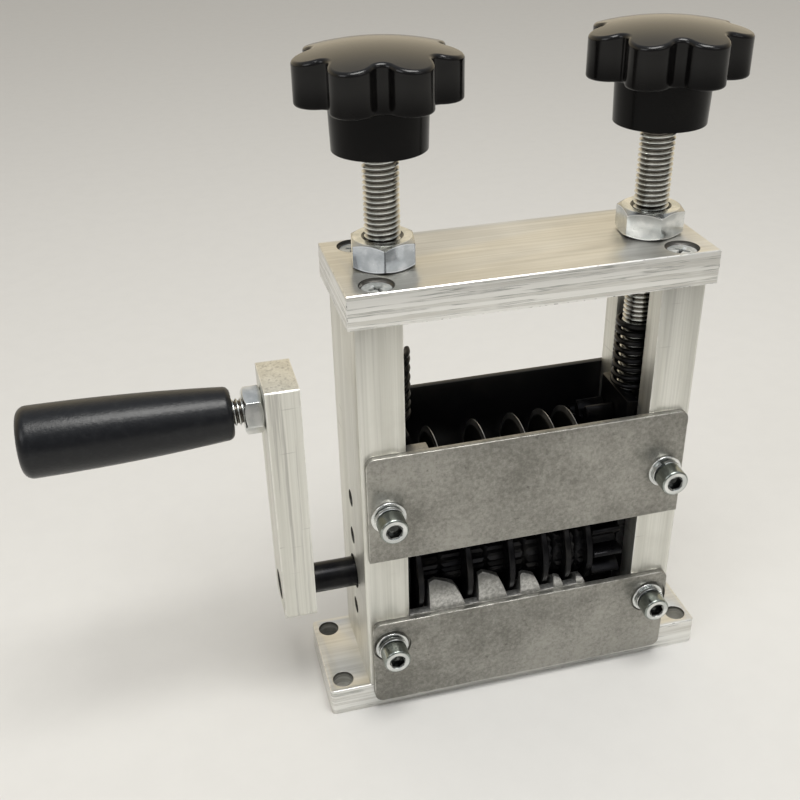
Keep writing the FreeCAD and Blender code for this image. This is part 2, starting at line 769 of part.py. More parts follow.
def lock_nut(x, turn):
    nut = hexagon_prism(lock_nut_flats, lock_nut_height, Vector(x, 0, top_z), Vector(0, 0, 1), turn)
    corner = lock_nut_flats / 2 / math.cos(math.radians(30))
    face = lock_nut_flats / 2 * lock_nut_face_share
    rise = (corner - face) * math.tan(math.radians(lock_nut_chamfer_angle))
    nut_top = top_z + lock_nut_height
    barrel = cone_z(face, corner, top_z, top_z + rise, x, 0)
    barrel = barrel.fuse(rod_z(corner, top_z + rise, nut_top - rise, x, 0))
    barrel = barrel.fuse(cone_z(corner, face, nut_top - rise, nut_top, x, 0))
    nut = nut.common(barrel)
    return nut.cut(rod_z(adjuster_radius + lock_nut_gap, top_z - 1, nut_top + 1, x, 0))


# Star knob: lobes and valleys are tangent arcs, the top is crowned, the hub tapers slightly
def star_outline(z):
    half_step = math.pi / knob_lobes
    reach = knob_tip_radius - knob_lobe_radius
    c = math.cos(half_step)
    valley = knob_valley_radius
    hollow = (knob_lobe_radius ** 2 - reach ** 2 - valley ** 2 + 2 * reach * valley * c) \
        / (2 * (valley - reach * c - knob_lobe_radius))

    def polar(radius, angle):
        return Vector(radius * math.cos(angle), radius * math.sin(angle), z)

    def join(lobe_angle, side):
        # Where a lobe's arc meets the valley's arc on one side
        lobe = polar(reach, lobe_angle)
        dip = polar(valley + hollow, lobe_angle + side * half_step)
        return lobe + (dip - lobe) * (knob_lobe_radius / (knob_lobe_radius + hollow))

    edges = []
    for k in range(knob_lobes):
        angle = 2 * half_step * k
        edges.append(Part.Arc(join(angle, -1), polar(knob_tip_radius, angle), join(angle, 1)).toShape())
        edges.append(Part.Arc(join(angle, 1), polar(valley, angle + half_step),
                              join(angle + 2 * half_step, -1)).toShape())
    return Part.Wire(edges)


def star_knob(x, turn):
    low = knob_hub_height
    head = Part.Face(star_outline(low)).extrude(Vector(0, 0, knob_head_height + knob_crown))
    dome_radius = (knob_tip_radius ** 2 + knob_crown ** 2) / (2 * knob_crown)
    dome = Part.makeSphere(dome_radius, Vector(0, 0, low + knob_head_height + knob_crown - dome_radius))
    column = Part.makeCylinder(knob_tip_radius + 1, knob_head_height + knob_crown + 1, Vector(0, 0, low - 0.5))
    head = head.common(dome.common(column))
    top = [e for e in head.Edges if e.BoundBox.ZMin > low + knob_head_height - 1]
    head = head.makeFillet(knob_edge_radius, top)
    foot = [e for e in head.Edges if e.BoundBox.ZMax < low + 0.01]
    head = head.makeFillet(knob_edge_radius * 0.7, foot)
    hub = Part.makeCone(knob_hub_radius - knob_hub_draft, knob_hub_radius, knob_hub_height + 1)
    knob = head.fuse(hub)
    knob = knob.cut(Part.makeCylinder(adjuster_radius + knob_bore_gap, knob_insert_depth, Vector(0, 0, 0)))
    knob.rotate(Vector(0, 0, 0), Vector(0, 0, 1), turn)
    knob.translate(Vector(x, 0, knob_bottom_z()))
    return knob


# Springs: one unbroken wire each, standing on the upper blocks round the screws
def spring_path():
    turns = []
    z = 0.0
    pitches = [spring_closed_pitch] * spring_closed_turns + [spring_working_pitch] * spring_working_turns \
        + [spring_closed_pitch] * spring_closed_turns
    for pitch in pitches:
        for quarter in range(4):
            turns.append((len(turns) * math.pi / 2, z, pitch))
            z += pitch / 4
    turns.append((len(turns) * math.pi / 2, z, pitches[-1]))
    return turns


def spring_point(angle, height):
    mean = spring_outer_radius - spring_wire_radius
    foot = upper_block_top_z + spring_wire_radius + spring_seat_gap
    return Vector(right_adjuster_x + mean * math.cos(angle), mean * math.sin(angle), foot + height)


def spring_tangent(angle, rise):
    mean = spring_outer_radius - spring_wire_radius
    return Vector(-mean * math.sin(angle), mean * math.cos(angle), rise / (2 * math.pi)).normalize()


def arc_between(start, corner, end):
    # Arc that is tangent to start-corner and corner-end
    chord_middle = (start + end) * 0.5
    half = start.distanceToPoint(end) / 2
    angle = math.acos(min(1.0, half / start.distanceToPoint(corner)))
    share = math.tan(angle / 2) / math.tan(angle)
    return Part.Arc(start, chord_middle + (corner - chord_middle) * share, end).toShape()


def biarc(p0, t0, p1, t1):
    # Two arcs that join two points and keep both directions
    v = p1 - p0
    c = t0.dot(t1)
    s = v.dot(t0 + t1)
    reach = (-s + math.sqrt(s * s + 2 * (1 - c) * v.dot(v))) / (2 * (1 - c))
    q0 = p0 + t0 * reach
    q1 = p1 - t1 * reach
    joint = (q0 + q1) * 0.5
    return [arc_between(p0, q0, joint), arc_between(joint, q1, p1)]


def spring():
    path = spring_path()
    rises = [entry[2] for entry in path]
    edges = []
    points = []
    for k in range(len(path) - 1):
        rise0 = rises[k] if k == 0 else (rises[k - 1] + rises[k]) / 2
        rise1 = (rises[k] + rises[k + 1]) / 2
        a0, z0, _ = path[k]
        a1, z1, _ = path[k + 1]
        edges += biarc(spring_point(a0, z0), spring_tangent(a0, rise0), spring_point(a1, z1),
                       spring_tangent(a1, rise1))
    for edge in edges:
        points += edge.discretize(7)[:-1]
    wire = Part.Wire(edges)
    direction = spring_tangent(0.0, rises[0])
    section = Part.Wire(Part.makeCircle(spring_wire_radius, points[0], direction))
    tube = wire.makePipeShell([section], True, False)
    per_turn = len(points) * 1.0 / (len(path) - 1) * 4
    least = least_gap(points, int(per_turn / 2))
    return tube, least


def least_gap(points, apart):
    least = 1e9
    for i in range(len(points)):
        for j in range(i + apart, len(points)):
            least = min(least, points[i].distanceToPoint(points[j]))
    return least - 2 * spring_wire_radius


# Crank: a flat bar clamped on the shaft by a grub screw, with the handle's spindle at the other end
def arm_right_x():
    return -(half_span + arm_gap_to_column)


def arm_left_x():
    return arm_right_x() - arm_thickness


def handle_z():
    return lower_axis_z + crank_radius


def crank_arm():
    low = lower_axis_z - arm_below_shaft
    high = handle_z() + arm_above_handle
    arm = box(arm_left_x(), arm_right_x(), -arm_width / 2, arm_width / 2, low, high)
    arm = arm.makeFillet(arm_end_radius, straight_edges(arm, Vector(1, 0, 0), lambda p: p.z < low + 0.1))
    arm = arm.makeChamfer(arm_edge_break * 0.5, straight_edges(arm, Vector(1, 0, 0), lambda p: p.z > high - 0.1))
    arm = arm.cut(rod_x(shaft_radius + arm_bore_gap, arm_left_x() - 1, arm_right_x() + 1, 0, lower_axis_z))
    arm = arm.cut(rod_x(spindle_radius + thread_gap, arm_left_x() - 1, arm_right_x() + 1, 0, handle_z()))
    return arm.cut(rod_y(grub_screw_radius + thread_gap, 0, arm_width, grub_x(), lower_axis_z))


def grub_x():
    return (arm_left_x() + arm_right_x()) / 2


def crank_grub_screw():
    foot = shaft_radius - shaft_flat_depth + 0.02
    screw = rod_y(grub_screw_radius, foot, foot + grub_screw_length, grub_x(), lower_axis_z)
    socket = hexagon_prism(grub_socket_flats, grub_socket_depth + 1,
                           Vector(grub_x(), foot + grub_screw_length - grub_socket_depth, lower_axis_z),
                           Vector(0, 1, 0), 0)
    return screw.cut(socket)


def lower_shaft():
    body = shaft(lower_axis_z, arm_left_x() + shaft_recess_in_arm, block_outer - 0.3)
    half = shaft_flat_length / 2
    flat = box(grub_x() - half, grub_x() + half, shaft_radius - shaft_flat_depth, shaft_radius + 1,
               lower_axis_z - shaft_radius, lower_axis_z + shaft_radius)
    return body.cut(flat)


def upper_shaft():
    return shaft(upper_axis_z, -block_outer + 0.3, block_outer - 0.3)


def handle_nut():
    nut = hexagon_prism(handle_nut_flats, handle_nut_height, Vector(arm_left_x(), 0, handle_z()),
                        Vector(-1, 0, 0), handle_nut_turn)
    corner = handle_nut_flats / 2 / math.cos(math.radians(30))
    flat = handle_nut_flats / 2
    face = flat * lock_nut_face_share
    rise = (corner - face) * math.tan(math.radians(lock_nut_chamfer_angle))
    x0 = arm_left_x() - handle_nut_height
    barrel = Part.makeCone(face, corner, rise, Vector(x0, 0, handle_z()), Vector(1, 0, 0))
    barrel = barrel.fuse(rod_x(corner, x0 + rise, arm_left_x() - rise, 0, handle_z()))
    barrel = barrel.fuse(Part.makeCone(corner, face, rise, Vector(arm_left_x() - rise, 0, handle_z()),
                                       Vector(1, 0, 0)))
    nut = nut.common(barrel)
    return nut.cut(rod_x(spindle_radius + thread_gap, x0 - 1, arm_left_x() + 1, 0, handle_z()))


def grip_thin_x():
    return arm_left_x() - handle_nut_height - handle_nut_gap_to_grip


def grip_fat_x():
    return grip_thin_x() - grip_length


# Grip: a crowned taper, rounded at both ends, bored for the spindle and its head
def grip():
    thin, fat = grip_thin_x(), grip_fat_x()
    r, q = grip_thin_end_radius, grip_fat_end_radius
    share = 1 - math.cos(math.pi / 4)
    middle_radius = (grip_thin_radius + grip_fat_radius) / 2 + grip_crown
    outline = [
        Part.makeLine(Vector(thin, 0, 0), Vector(thin, grip_thin_radius - r, 0)),
        Part.Arc(Vector(thin, grip_thin_radius - r, 0), Vector(thin - r * share, grip_thin_radius - r * share, 0),
                 Vector(thin - r, grip_thin_radius, 0)).toShape(),
        Part.Arc(Vector(thin - r, grip_thin_radius, 0), Vector((thin + fat) / 2, middle_radius, 0),
                 Vector(fat + q, grip_fat_radius, 0)).toShape(),
        Part.Arc(Vector(fat + q, grip_fat_radius, 0), Vector(fat + q * share, grip_fat_radius - q * share, 0),
                 Vector(fat, grip_fat_radius - q, 0)).toShape(),
        Part.makeLine(Vector(fat, grip_fat_radius - q, 0), Vector(fat, 0, 0)),
        Part.makeLine(Vector(fat, 0, 0), Vector(thin, 0, 0)),
    ]
    body = Part.Face(Part.Wire(outline)).revolve(Vector(0, 0, 0), Vector(1, 0, 0), 360)
    body.translate(Vector(0, 0, handle_z()))
    body = body.cut(rod_x(spindle_radius + spindle_running_gap, fat - 1, thin + 1, 0, handle_z()))
    return body.cut(rod_x(spindle_head_radius + grip_counterbore_gap, fat - 1, fat + grip_counterbore_depth,
                          0, handle_z()))


def grip_end_plug():
    x0 = grip_fat_x() + grip_plug_recess
    return rod_x(spindle_head_radius + grip_counterbore_gap - 0.02, x0, x0 + grip_plug_thickness, 0, handle_z())


def handle_spindle():
    head_right = grip_fat_x() + grip_counterbore_depth - 0.1
    stem = rod_x(spindle_radius, head_right - 1, arm_right_x() - 0.5, 0, handle_z())
    return stem.fuse(rod_x(spindle_head_radius, head_right - spindle_head_thickness, head_right, 0, handle_z()))


def sunk_screws():
    top = [sunk_screw(x, y, top_z, 1, top_screw_radius, top_screw_head_radius, top_screw_length)
           for x, y in flange_screw_places(top_screw_y)]
    base = [sunk_screw(x, y, 0, -1, base_screw_radius, base_screw_head_radius, base_screw_length)
            for x, y in flange_screw_places(base_screw_y)]
    comb = [sunk_screw(x, y, 0, -1, comb_screw_radius, comb_screw_head_radius, comb_screw_length)
            for x, y in comb_screw_places()]
    return Part.makeCompound(top), Part.makeCompound(base), Part.makeCompound(comb)


def pair(shape):
    return Part.makeCompound([mirrored_x(shape), shape])


save("base_plate", base_plate())
column = save("right_column", right_column())
save("left_column", mirrored_x(column))
save("top_plate", top_plate())
save("upper_front_plate", upper_front_plate())
save("lower_front_plate", lower_front_plate())
save("rear_guide_plate", rear_guide_plate())
save("lower_comb", lower_comb())
save("upper_comb", upper_comb())
top_screws, base_screws, comb_screws = sunk_screws()
save("top_plate_screws", top_screws)
save("base_screws", base_screws)
save("comb_screws", comb_screws)
save("plate_cap_screws", on_plates(cap_screw))
save("flat_washers", on_plates(flat_washer))
save("spring_washers", on_plates(spring_washer))
block = save("lower_block_right", lower_block_right())
save("lower_block_left", mirrored_x(block))
save("lower_bushes", pair(bush(lower_axis_z)))

save("lower_shaft", lower_shaft())
save("lower_key", shaft_key(lower_axis_z))
save("rims", rims())
for index in range(len(channels)):
    save("feed_roller_" + str(index + 1), feed_roller(index))
save("lower_gear", spur_gear(lower_axis_z, gear_start, gear_start + gear_width))
save("crank_arm", crank_arm())
save("crank_grub_screw", crank_grub_screw())
save("handle_spindle", handle_spindle())
save("handle_nut", handle_nut())
save("grip", grip())
save("grip_end_plug", grip_end_plug())

save("upper_block_right", upper_block(right_adjuster_x))
save("upper_block_left", mirrored_x(upper_block(-left_adjuster_x)))
save("upper_bushes", pair(bush(upper_axis_z)))
coil, coil_gap = spring()
save("spring_right", coil)
save("spring_left", coil.translated(Vector(left_adjuster_x - right_adjuster_x, 0, 0)))
print("spring wire to itself, least gap", round(coil_gap, 3))

save("upper_shaft", upper_shaft())
save("upper_key", shaft_key(upper_axis_z))
for index in range(len(channels)):
    save("blade_" + str(index + 1), blade(index))
for index in range(len(spacer_spans())):
    save("blade_spacer_" + str(index + 1), blade_spacer(index))
save("upper_gear", spur_gear(upper_axis_z, gear_start + gear_side_gap, gear_start + gear_width))

save("right_screw", adjusting_screw(right_adjuster_x))
save("left_screw", adjusting_screw(left_adjuster_x))
save("right_knob", star_knob(right_adjuster_x, knob_turn_right))
save("left_knob", star_knob(left_adjuster_x, knob_turn_left))
save("right_lock_nut", lock_nut(right_adjuster_x, lock_nut_turn_right))
save("left_lock_nut", lock_nut(left_adjuster_x, lock_nut_turn_left))
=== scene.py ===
import json
from math import cos, pi, radians, sin

import bpy
from mathutils import Matrix, Vector


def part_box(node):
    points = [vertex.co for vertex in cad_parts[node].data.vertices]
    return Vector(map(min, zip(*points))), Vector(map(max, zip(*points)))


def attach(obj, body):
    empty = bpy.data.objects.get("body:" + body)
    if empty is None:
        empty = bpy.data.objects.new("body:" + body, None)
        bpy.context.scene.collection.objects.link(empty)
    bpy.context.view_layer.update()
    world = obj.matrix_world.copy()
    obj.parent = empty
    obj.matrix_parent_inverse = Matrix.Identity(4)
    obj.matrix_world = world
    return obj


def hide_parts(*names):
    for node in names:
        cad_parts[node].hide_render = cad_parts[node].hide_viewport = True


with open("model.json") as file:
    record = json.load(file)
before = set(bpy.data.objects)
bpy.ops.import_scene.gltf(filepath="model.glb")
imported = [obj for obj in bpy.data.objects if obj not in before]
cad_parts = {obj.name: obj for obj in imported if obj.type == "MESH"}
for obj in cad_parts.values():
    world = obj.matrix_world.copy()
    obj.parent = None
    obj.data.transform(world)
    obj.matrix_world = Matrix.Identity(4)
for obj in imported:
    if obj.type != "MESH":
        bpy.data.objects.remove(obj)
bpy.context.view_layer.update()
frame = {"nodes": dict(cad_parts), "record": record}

nodes = frame["nodes"]
mm = 0.001
print("frame loaded:", len(nodes), "nodes")


# Camera: placed where the photograph was taken from, worked out from the plates' corners

cameraSettings = {
    "azimuth": -0.239,      # radians round the object, from straight in front
    "elevation": 0.530,     # radians above level
    "roll": -0.024,
    "distance": 315.793,    # mm from the aim point
    "aim": (-34.981, 0.0, 105.299),
    "lens": 47.679,         # mm on a 36 mm wide sensor
}


def placeCamera(s):
    az, el = s["azimuth"], s["elevation"]
    back = Vector((sin(az) * cos(el), -cos(az) * cos(el), sin(el)))
    right = Vector((cos(az), sin(az), 0.0))
    up = back.cross(right)
    c, d = cos(s["roll"]), sin(s["roll"])
    right, up = right * c + up * d, up * c - right * d
    data = bpy.data.cameras.new("camera")
    data.lens = s["lens"]
    data.sensor_width = 36.0
    data.clip_start = 0.01
    data.clip_end = 20.0
    camera = bpy.data.objects.new("camera", data)
    bpy.context.scene.collection.objects.link(camera)
    place = (Vector(s["aim"]) + back * s["distance"]) * mm
    turn = Matrix((right, up, back)).transposed().to_4x4()
    camera.matrix_world = Matrix.Translation(place) @ turn
    bpy.context.scene.camera = camera


placeCamera(cameraSettings)
bpy.context.scene.view_settings.view_transform = "Standard"
print("camera placed")


# Shader maths: a socket that can be added, multiplied and compared in plain expressions

class Value:
    def __init__(self, kit, socket):
        self.kit = kit
        self.socket = socket

    def maths(self, operation, *others):
        return self.kit.node("ShaderNodeMath", {"operation": operation}, self, *others)

    def __add__(self, other): return self.maths("ADD", other)
    def __radd__(self, other): return self.maths("ADD", other)
    def __sub__(self, other): return self.maths("SUBTRACT", other)
    def __rsub__(self, other): return self.kit.node("ShaderNodeMath", {"operation": "SUBTRACT"}, other, self)
    def __mul__(self, other): return self.maths("MULTIPLY", other)
    def __rmul__(self, other): return self.maths("MULTIPLY", other)

    def held(self, low, high, shape="SMOOTHSTEP"):
        # Rises from 0 to 1 between low and high
        return self.kit.node("ShaderNodeMapRange", {"interpolation_type": shape}, self, low, high, 0.0, 1.0)

    def near(self, close, far):
        # Falls from 1 to 0 between close and far
        return 1 - self.held(close, far)

    def spread(self, low, high):
        # A 0 to 1 value laid between two values
        return self * (high - low) + low

    def least(self, other):
        return self.maths("MINIMUM", other)

    def most(self, other):
        return self.maths("MAXIMUM", other)

    def size(self):
        return self.maths("ABSOLUTE")


class Kit:
    # Makes and links the nodes of one material or of the world
    def __init__(self, tree):
        self.tree = tree

    def node(self, kind, settings=None, *inputs, out=0, **named):
        made = self.tree.nodes.new(kind)
        for key, value in (settings or {}).items():
            if key == "stops":
                ramp = made.color_ramp
                while len(ramp.elements) < len(value):
                    ramp.elements.new(0.5)
                for element, (position, color) in zip(ramp.elements, value):
                    element.position = position
                    element.color = (*color, 1.0)
            else:
                setattr(made, key, value)
        for index, value in enumerate(inputs):
            self.feed(made.inputs[index], value)
        for key, value in named.items():
            self.feed(made.inputs[key.replace("_", " ")], value)
        return Value(self, made.outputs[out])

    def feed(self, socket, value):
        if isinstance(value, Value):
            self.tree.links.new(value.socket, socket)
        elif value is not None:
            socket.default_value = value

    def axes(self, vector):
        made = self.tree.nodes.new("ShaderNodeSeparateXYZ")
        self.feed(made.inputs[0], vector)
        return [Value(self, out) for out in made.outputs]

    def mix(self, share, a, b):
        made = self.tree.nodes.new("ShaderNodeMix")
        made.data_type = "RGBA"
        self.feed(made.inputs[0], share)
        for socket, value in ((made.inputs[6], a), (made.inputs[7], b)):
            self.feed(socket, value if isinstance(value, Value) else (*value, 1.0))
        return Value(self, made.outputs[2])


class Finish(Kit):
    # One material: its place on the piece, its textures and its surface
    def __init__(self, name):
        self.material = bpy.data.materials.new(name)
        self.material.use_nodes = True
        super().__init__(self.material.node_tree)
        self.surface = self.tree.nodes["Principled BSDF"]
        self.place = self.node("ShaderNodeTexCoord", out="Object")

    def coordinates(self):
        # The place on the piece as three numbers, in metres
        return self.axes(self.place)

    def scaled(self, x, y, z):
        return self.node("ShaderNodeMapping", None, self.place, (0.0, 0.0, 0.0), (0.0, 0.0, 0.0), (x, y, z))

    def noise(self, scale, detail=3.0, roughness=0.5, where=None):
        return self.node("ShaderNodeTexNoise", None, Vector=where or self.place, Scale=scale, Detail=detail,
                         Roughness=roughness)

    def fromLine(self, a, b):
        # Distance from a line, by the two numbers across it
        return (a * a + b * b).maths("SQRT")

    def worn(self, corners, width=0.4):
        # 1 along the edges of the box that holds a piece, broken up by knocks
        low, high = corners
        a, b, c = [(p - low[k]).least(high[k] - p) for k, p in enumerate(self.coordinates())]
        nextEdge = a.least(b).most(a.most(b).least(c))
        knocks = self.noise(240.0, 4.0, 0.65)
        return nextEdge.near(0.05 * mm, width * mm) * knocks.held(0.36, 0.56)

    def bump(self, height, strength, distance):
        return self.node("ShaderNodeBump", None, Strength=strength, Distance=distance, Height=height)

    def set(self, **sockets):
        for key, value in sockets.items():
            name = {"color": "Base Color", "rough": "Roughness", "metal": "Metallic", "normal": "Normal",
                    "coat": "Coat Weight", "coatRough": "Coat Roughness", "gloss": "Specular IOR Level"}[key]
            if isinstance(value, tuple):
                value = (*value, 1.0)
            self.feed(self.surface.inputs[name], value)
        return self.material


# Bores are (height, radius) of the holes along X, in mm; marks is how scratched the faces are

columnBores = ((29.6, 2.7), (44.0, 5.6), (58.4, 2.7), (72.8, 2.7))
drawnSettings = {
    "left_column": {"name": "leftColumnAluminium", "bores": columnBores, "marks": 0.2},
    "right_column": {"name": "rightColumnAluminium", "bores": columnBores, "marks": 0.2},
    "crank_arm": {"name": "crankArmAluminium", "bores": ((44.0, 4.82), (109.3, 4.05)), "marks": 0.6},
    "pale": (0.81, 0.805, 0.75), "dark": (0.67, 0.665, 0.61), "rough": (0.32, 0.48), "lineDepth": 0.00004,
}


def drawnAluminium(node):
    # Die lines run along Z, some wide and faint, some fine, with a little handling dirt and knocked edges
    s, own = drawnSettings, drawnSettings[node]
    f = Finish(own["name"])
    x, y, z = f.coordinates()
    wide = f.noise(1.0, 2.0, 0.5, f.scaled(260.0, 260.0, 1.5))
    fine = f.noise(1.0, 3.0, 0.6, f.scaled(1500.0, 1500.0, 9.0))
    dirt = f.noise(38.0, 4.0, 0.6)
    across = f.noise(1.0, 1.0, 0.3, f.scaled(60.0, 60.0, 900.0))
    along = f.noise(1.0, 3.0, 0.6, f.scaled(900.0, 900.0, 22.0))
    edge = f.worn(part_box(node))
    lines = wide * 0.5 + fine * 0.5
    color = f.mix(lines.held(0.38, 0.66), s["dark"], s["pale"])
    color = f.mix(dirt.held(0.52, 0.8) * 0.4, color, (0.50, 0.49, 0.44))
    color = f.mix(across.held(0.73, 0.78) * 0.4, color, (0.40, 0.39, 0.36))
    color = f.mix(along.held(0.52, 0.66) * own["marks"], color, (0.42, 0.41, 0.385))
    color = f.mix(edge * 0.8, color, (0.90, 0.89, 0.85))
    # The bore walls are painted near black: painted shade inside the holes
    for height, radius in own["bores"]:
        wall = f.fromLine(y, z - height * mm).near((radius + 0.03) * mm, (radius + 0.13) * mm)
        color = f.mix(wall * 0.94, color, (0.03, 0.028, 0.025))
    rough = (fine * 0.6 + dirt * 0.4).spread(*s["rough"]) - edge * 0.1
    return f.set(color=color, metal=0.9, rough=rough, normal=f.bump(lines, 0.4, s["lineDepth"]))


# Hole is the x, y and radius of its holes; a hole's wall is painted from unshaded to dark between two
# heights, in mm: painted shade in the holes

sawnSettings = {
    "top_plate": {"name": "topPlateAluminium", "hole": (44.1, 14.3, 4.88), "shadeStart": 130.0, "dark": 140.0},
    "base_plate": {"name": "basePlateAluminium", "hole": (59.5, 12.5, 3.34), "shadeStart": 8.4, "dark": 9.7},
    "pale": (0.80, 0.795, 0.76), "dark": (0.62, 0.61, 0.57), "sawn": (0.90, 0.90, 0.875),
    "cut": (0.34, 0.345, 0.33), "rough": (0.27, 0.44), "lineDepth": 0.00012,
}


def sawnAluminium(node):
    # Wavy level saw lines on the upright faces, brushed lines along X on top, pale rubs, and painted shade on
    # the holes' walls
    s, own = sawnSettings, sawnSettings[node]
    f = Finish(own["name"])
    x, y, z = f.coordinates()
    low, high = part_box(node)
    brushed = f.noise(1.0, 3.0, 0.6, f.scaled(14.0, 700.0, 900.0))
    saw = f.noise(1.0, 4.0, 0.6, f.scaled(11.0, 11.0, 620.0))
    rubbed = f.noise(26.0, 3.0, 0.5)
    upright = (high[2] - z).held(0.1 * mm, 0.5 * mm)
    cut = (saw - 0.5).size().near(0.003, 0.022) * upright * f.noise(60.0, 3.0, 0.6).held(0.36, 0.56)
    edge = f.worn((low, high), 0.36)
    nick = f.noise(520.0, 3.0, 0.6).held(0.55, 0.64)
    lines = brushed * 0.4 + saw * 0.6
    color = f.mix(lines.held(0.40, 0.62), s["dark"], s["pale"])
    color = f.mix(rubbed.held(0.5, 0.75) * 0.4, color, (0.84, 0.83, 0.79))
    color = f.mix(upright * saw.held(0.35, 0.6) * 0.8, color, s["sawn"])
    color = f.mix(cut * 0.85, color, s["cut"])
    color = f.mix(edge * 0.8, color, (0.93, 0.92, 0.90))
    color = f.mix(edge * nick * 0.9, color, (0.20, 0.195, 0.18))
    holeX, holeY, radius = own["hole"]
    wall = f.fromLine(x.size() - holeX * mm, y.size() - holeY * mm).near(radius * mm, (radius + 0.1) * mm)
    # The hole walls are painted dark towards the top: painted shade in the holes
    painted_shade = wall * z.held(own["shadeStart"] * mm, own["dark"] * mm)
    color = f.mix(painted_shade * 0.9, color, (0.06, 0.054, 0.046))
    rough = (brushed * 0.5 + rubbed * 0.5).spread(*s["rough"]) + edge * 0.22
    height = lines - cut * 0.3
    return f.set(color=color, metal=0.9, rough=rough, normal=f.bump(height, 0.5, s["lineDepth"]))


plateSettings = {"pale": (0.41, 0.40, 0.365), "dark": (0.19, 0.185, 0.165), "rough": (0.33, 0.50)}


def plateSteel(name, node):
    # Pickled plate: cloudy and finely mottled, with small pits, a few pale rubs and a bright sheared edge
    f = Finish(name)
    cloud = f.noise(30.0, 4.0, 0.6)
    mottle = f.noise(900.0, 5.0, 0.72)
    pits = f.noise(430.0, 2.0, 0.5)
    rub = f.noise(1.0, 3.0, 0.6, f.scaled(24.0, 60.0, 160.0))
    edge = f.worn(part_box(node), 0.34)
    skin = (cloud * 0.5 + mottle * 0.5).held(0.34, 0.66)
    color = f.mix(skin, plateSettings["dark"], plateSettings["pale"])
    color = f.mix(rub.held(0.62, 0.8) * 0.3, color, (0.42, 0.41, 0.38))
    color = f.mix(pits.held(0.70, 0.78) * 0.5, color, (0.09, 0.085, 0.075))
    color = f.mix(edge * 0.85, color, (0.66, 0.65, 0.61))
    rough = (cloud * 0.4 + mottle * 0.6).spread(*plateSettings["rough"]) - edge * 0.15
    return f.set(color=color, metal=0.85, rough=rough, normal=f.bump(mottle + pits * 0.5, 0.28, 0.00009))


combSettings = {"pale": (0.63, 0.625, 0.605), "dark": (0.30, 0.30, 0.285), "tipShadeFrom": 40.0, "tipShadeFull": 45.5,
                "tipShadeLow": 60.0, "tipShadeEnd": 70.0, "shadedTopFrom": 88.0, "shadedTopFull": 93.0}


def combSteel(name):
    # Fine specks on grey, painted shade on the lower comb's tips, and the upper comb's top painted darker as
    # painted shade
    f = Finish(name)
    x, y, z = f.coordinates()
    speck = f.noise(1000.0, 4.0, 0.7)
    cloud = f.noise(90.0, 4.0, 0.6)
    s = combSettings
    color = f.mix((speck * 0.65 + cloud * 0.35).held(0.36, 0.64), s["dark"], s["pale"])
    # The teeth are painted dark above their feet: painted shade under the upper plate
    painted_tip_shade = z.held(s["tipShadeFrom"] * mm, s["tipShadeFull"] * mm) * z.near(s["tipShadeLow"] * mm, s["tipShadeEnd"] * mm)
    color = f.mix(painted_tip_shade * cloud.held(0.25, 0.5) * 0.72, color, (0.13, 0.13, 0.12))
    # The upper comb's top is painted darker: painted shade that dulls its reflection
    top = z.held(s["shadedTopFrom"] * mm, s["shadedTopFull"] * mm)
    color = f.mix(top * 0.65, color, (0.22, 0.215, 0.20))
    return f.set(color=color, metal=0.9, rough=(cloud * 0.5 + speck * 0.5).spread(0.26, 0.48),
                 normal=f.bump(speck, 0.35, 0.00006))


# The third colour is painted shade, laid into recesses and under the nuts
zincSettings = {"pale": (0.85, 0.86, 0.84), "dull": (0.60, 0.62, 0.61), "painted_shade": (0.035, 0.034, 0.030)}


def brightZinc(f, extra=None, rough=(0.14, 0.34)):
    # Plated fasteners: bright, with a faint cloud and tool marks; extra is (share, colour) pairs laid over it
    cloud = f.noise(240.0, 3.0, 0.5)
    marks = f.noise(1400.0, 2.0, 0.6)
    color = f.mix(cloud.held(0.35, 0.7), zincSettings["dull"], zincSettings["pale"])
    for share, over in extra or []:
        color = f.mix(share, color, over)
    return f.set(color=color, metal=1.0, rough=(cloud * 0.5 + marks * 0.5).spread(*rough),
                 normal=f.bump(marks, 0.12, 0.00002))


def threadZinc(name, axis, radius, pitch, alongX=False):
    # Bright crests, with flanks and roots painted dark as painted shade in the grooves; axis is where the
    # rod's middle line passes, in mm
    f = Finish(name)
    x, y, z = f.coordinates()
    a, b = (y, z) if alongX else (x, y)
    out = f.fromLine(a - axis[0] * mm, b - axis[1] * mm)
    # Flanks and roots are painted dark: painted shade in the thread's grooves
    flank = out.near((radius - 0.30 * pitch) * mm, (radius - 0.04 * pitch) * mm)
    root = out.near((radius - 0.62 * pitch) * mm, (radius - 0.30 * pitch) * mm)
    core = out.near((radius - 0.85 * pitch) * mm, (radius - 0.70 * pitch) * mm)
    flank, root = flank * (1 - core), root * (1 - core)
    return brightZinc(f, [(flank * 0.6, (0.22, 0.195, 0.16)), (root * 0.82, (0.08, 0.07, 0.058))])


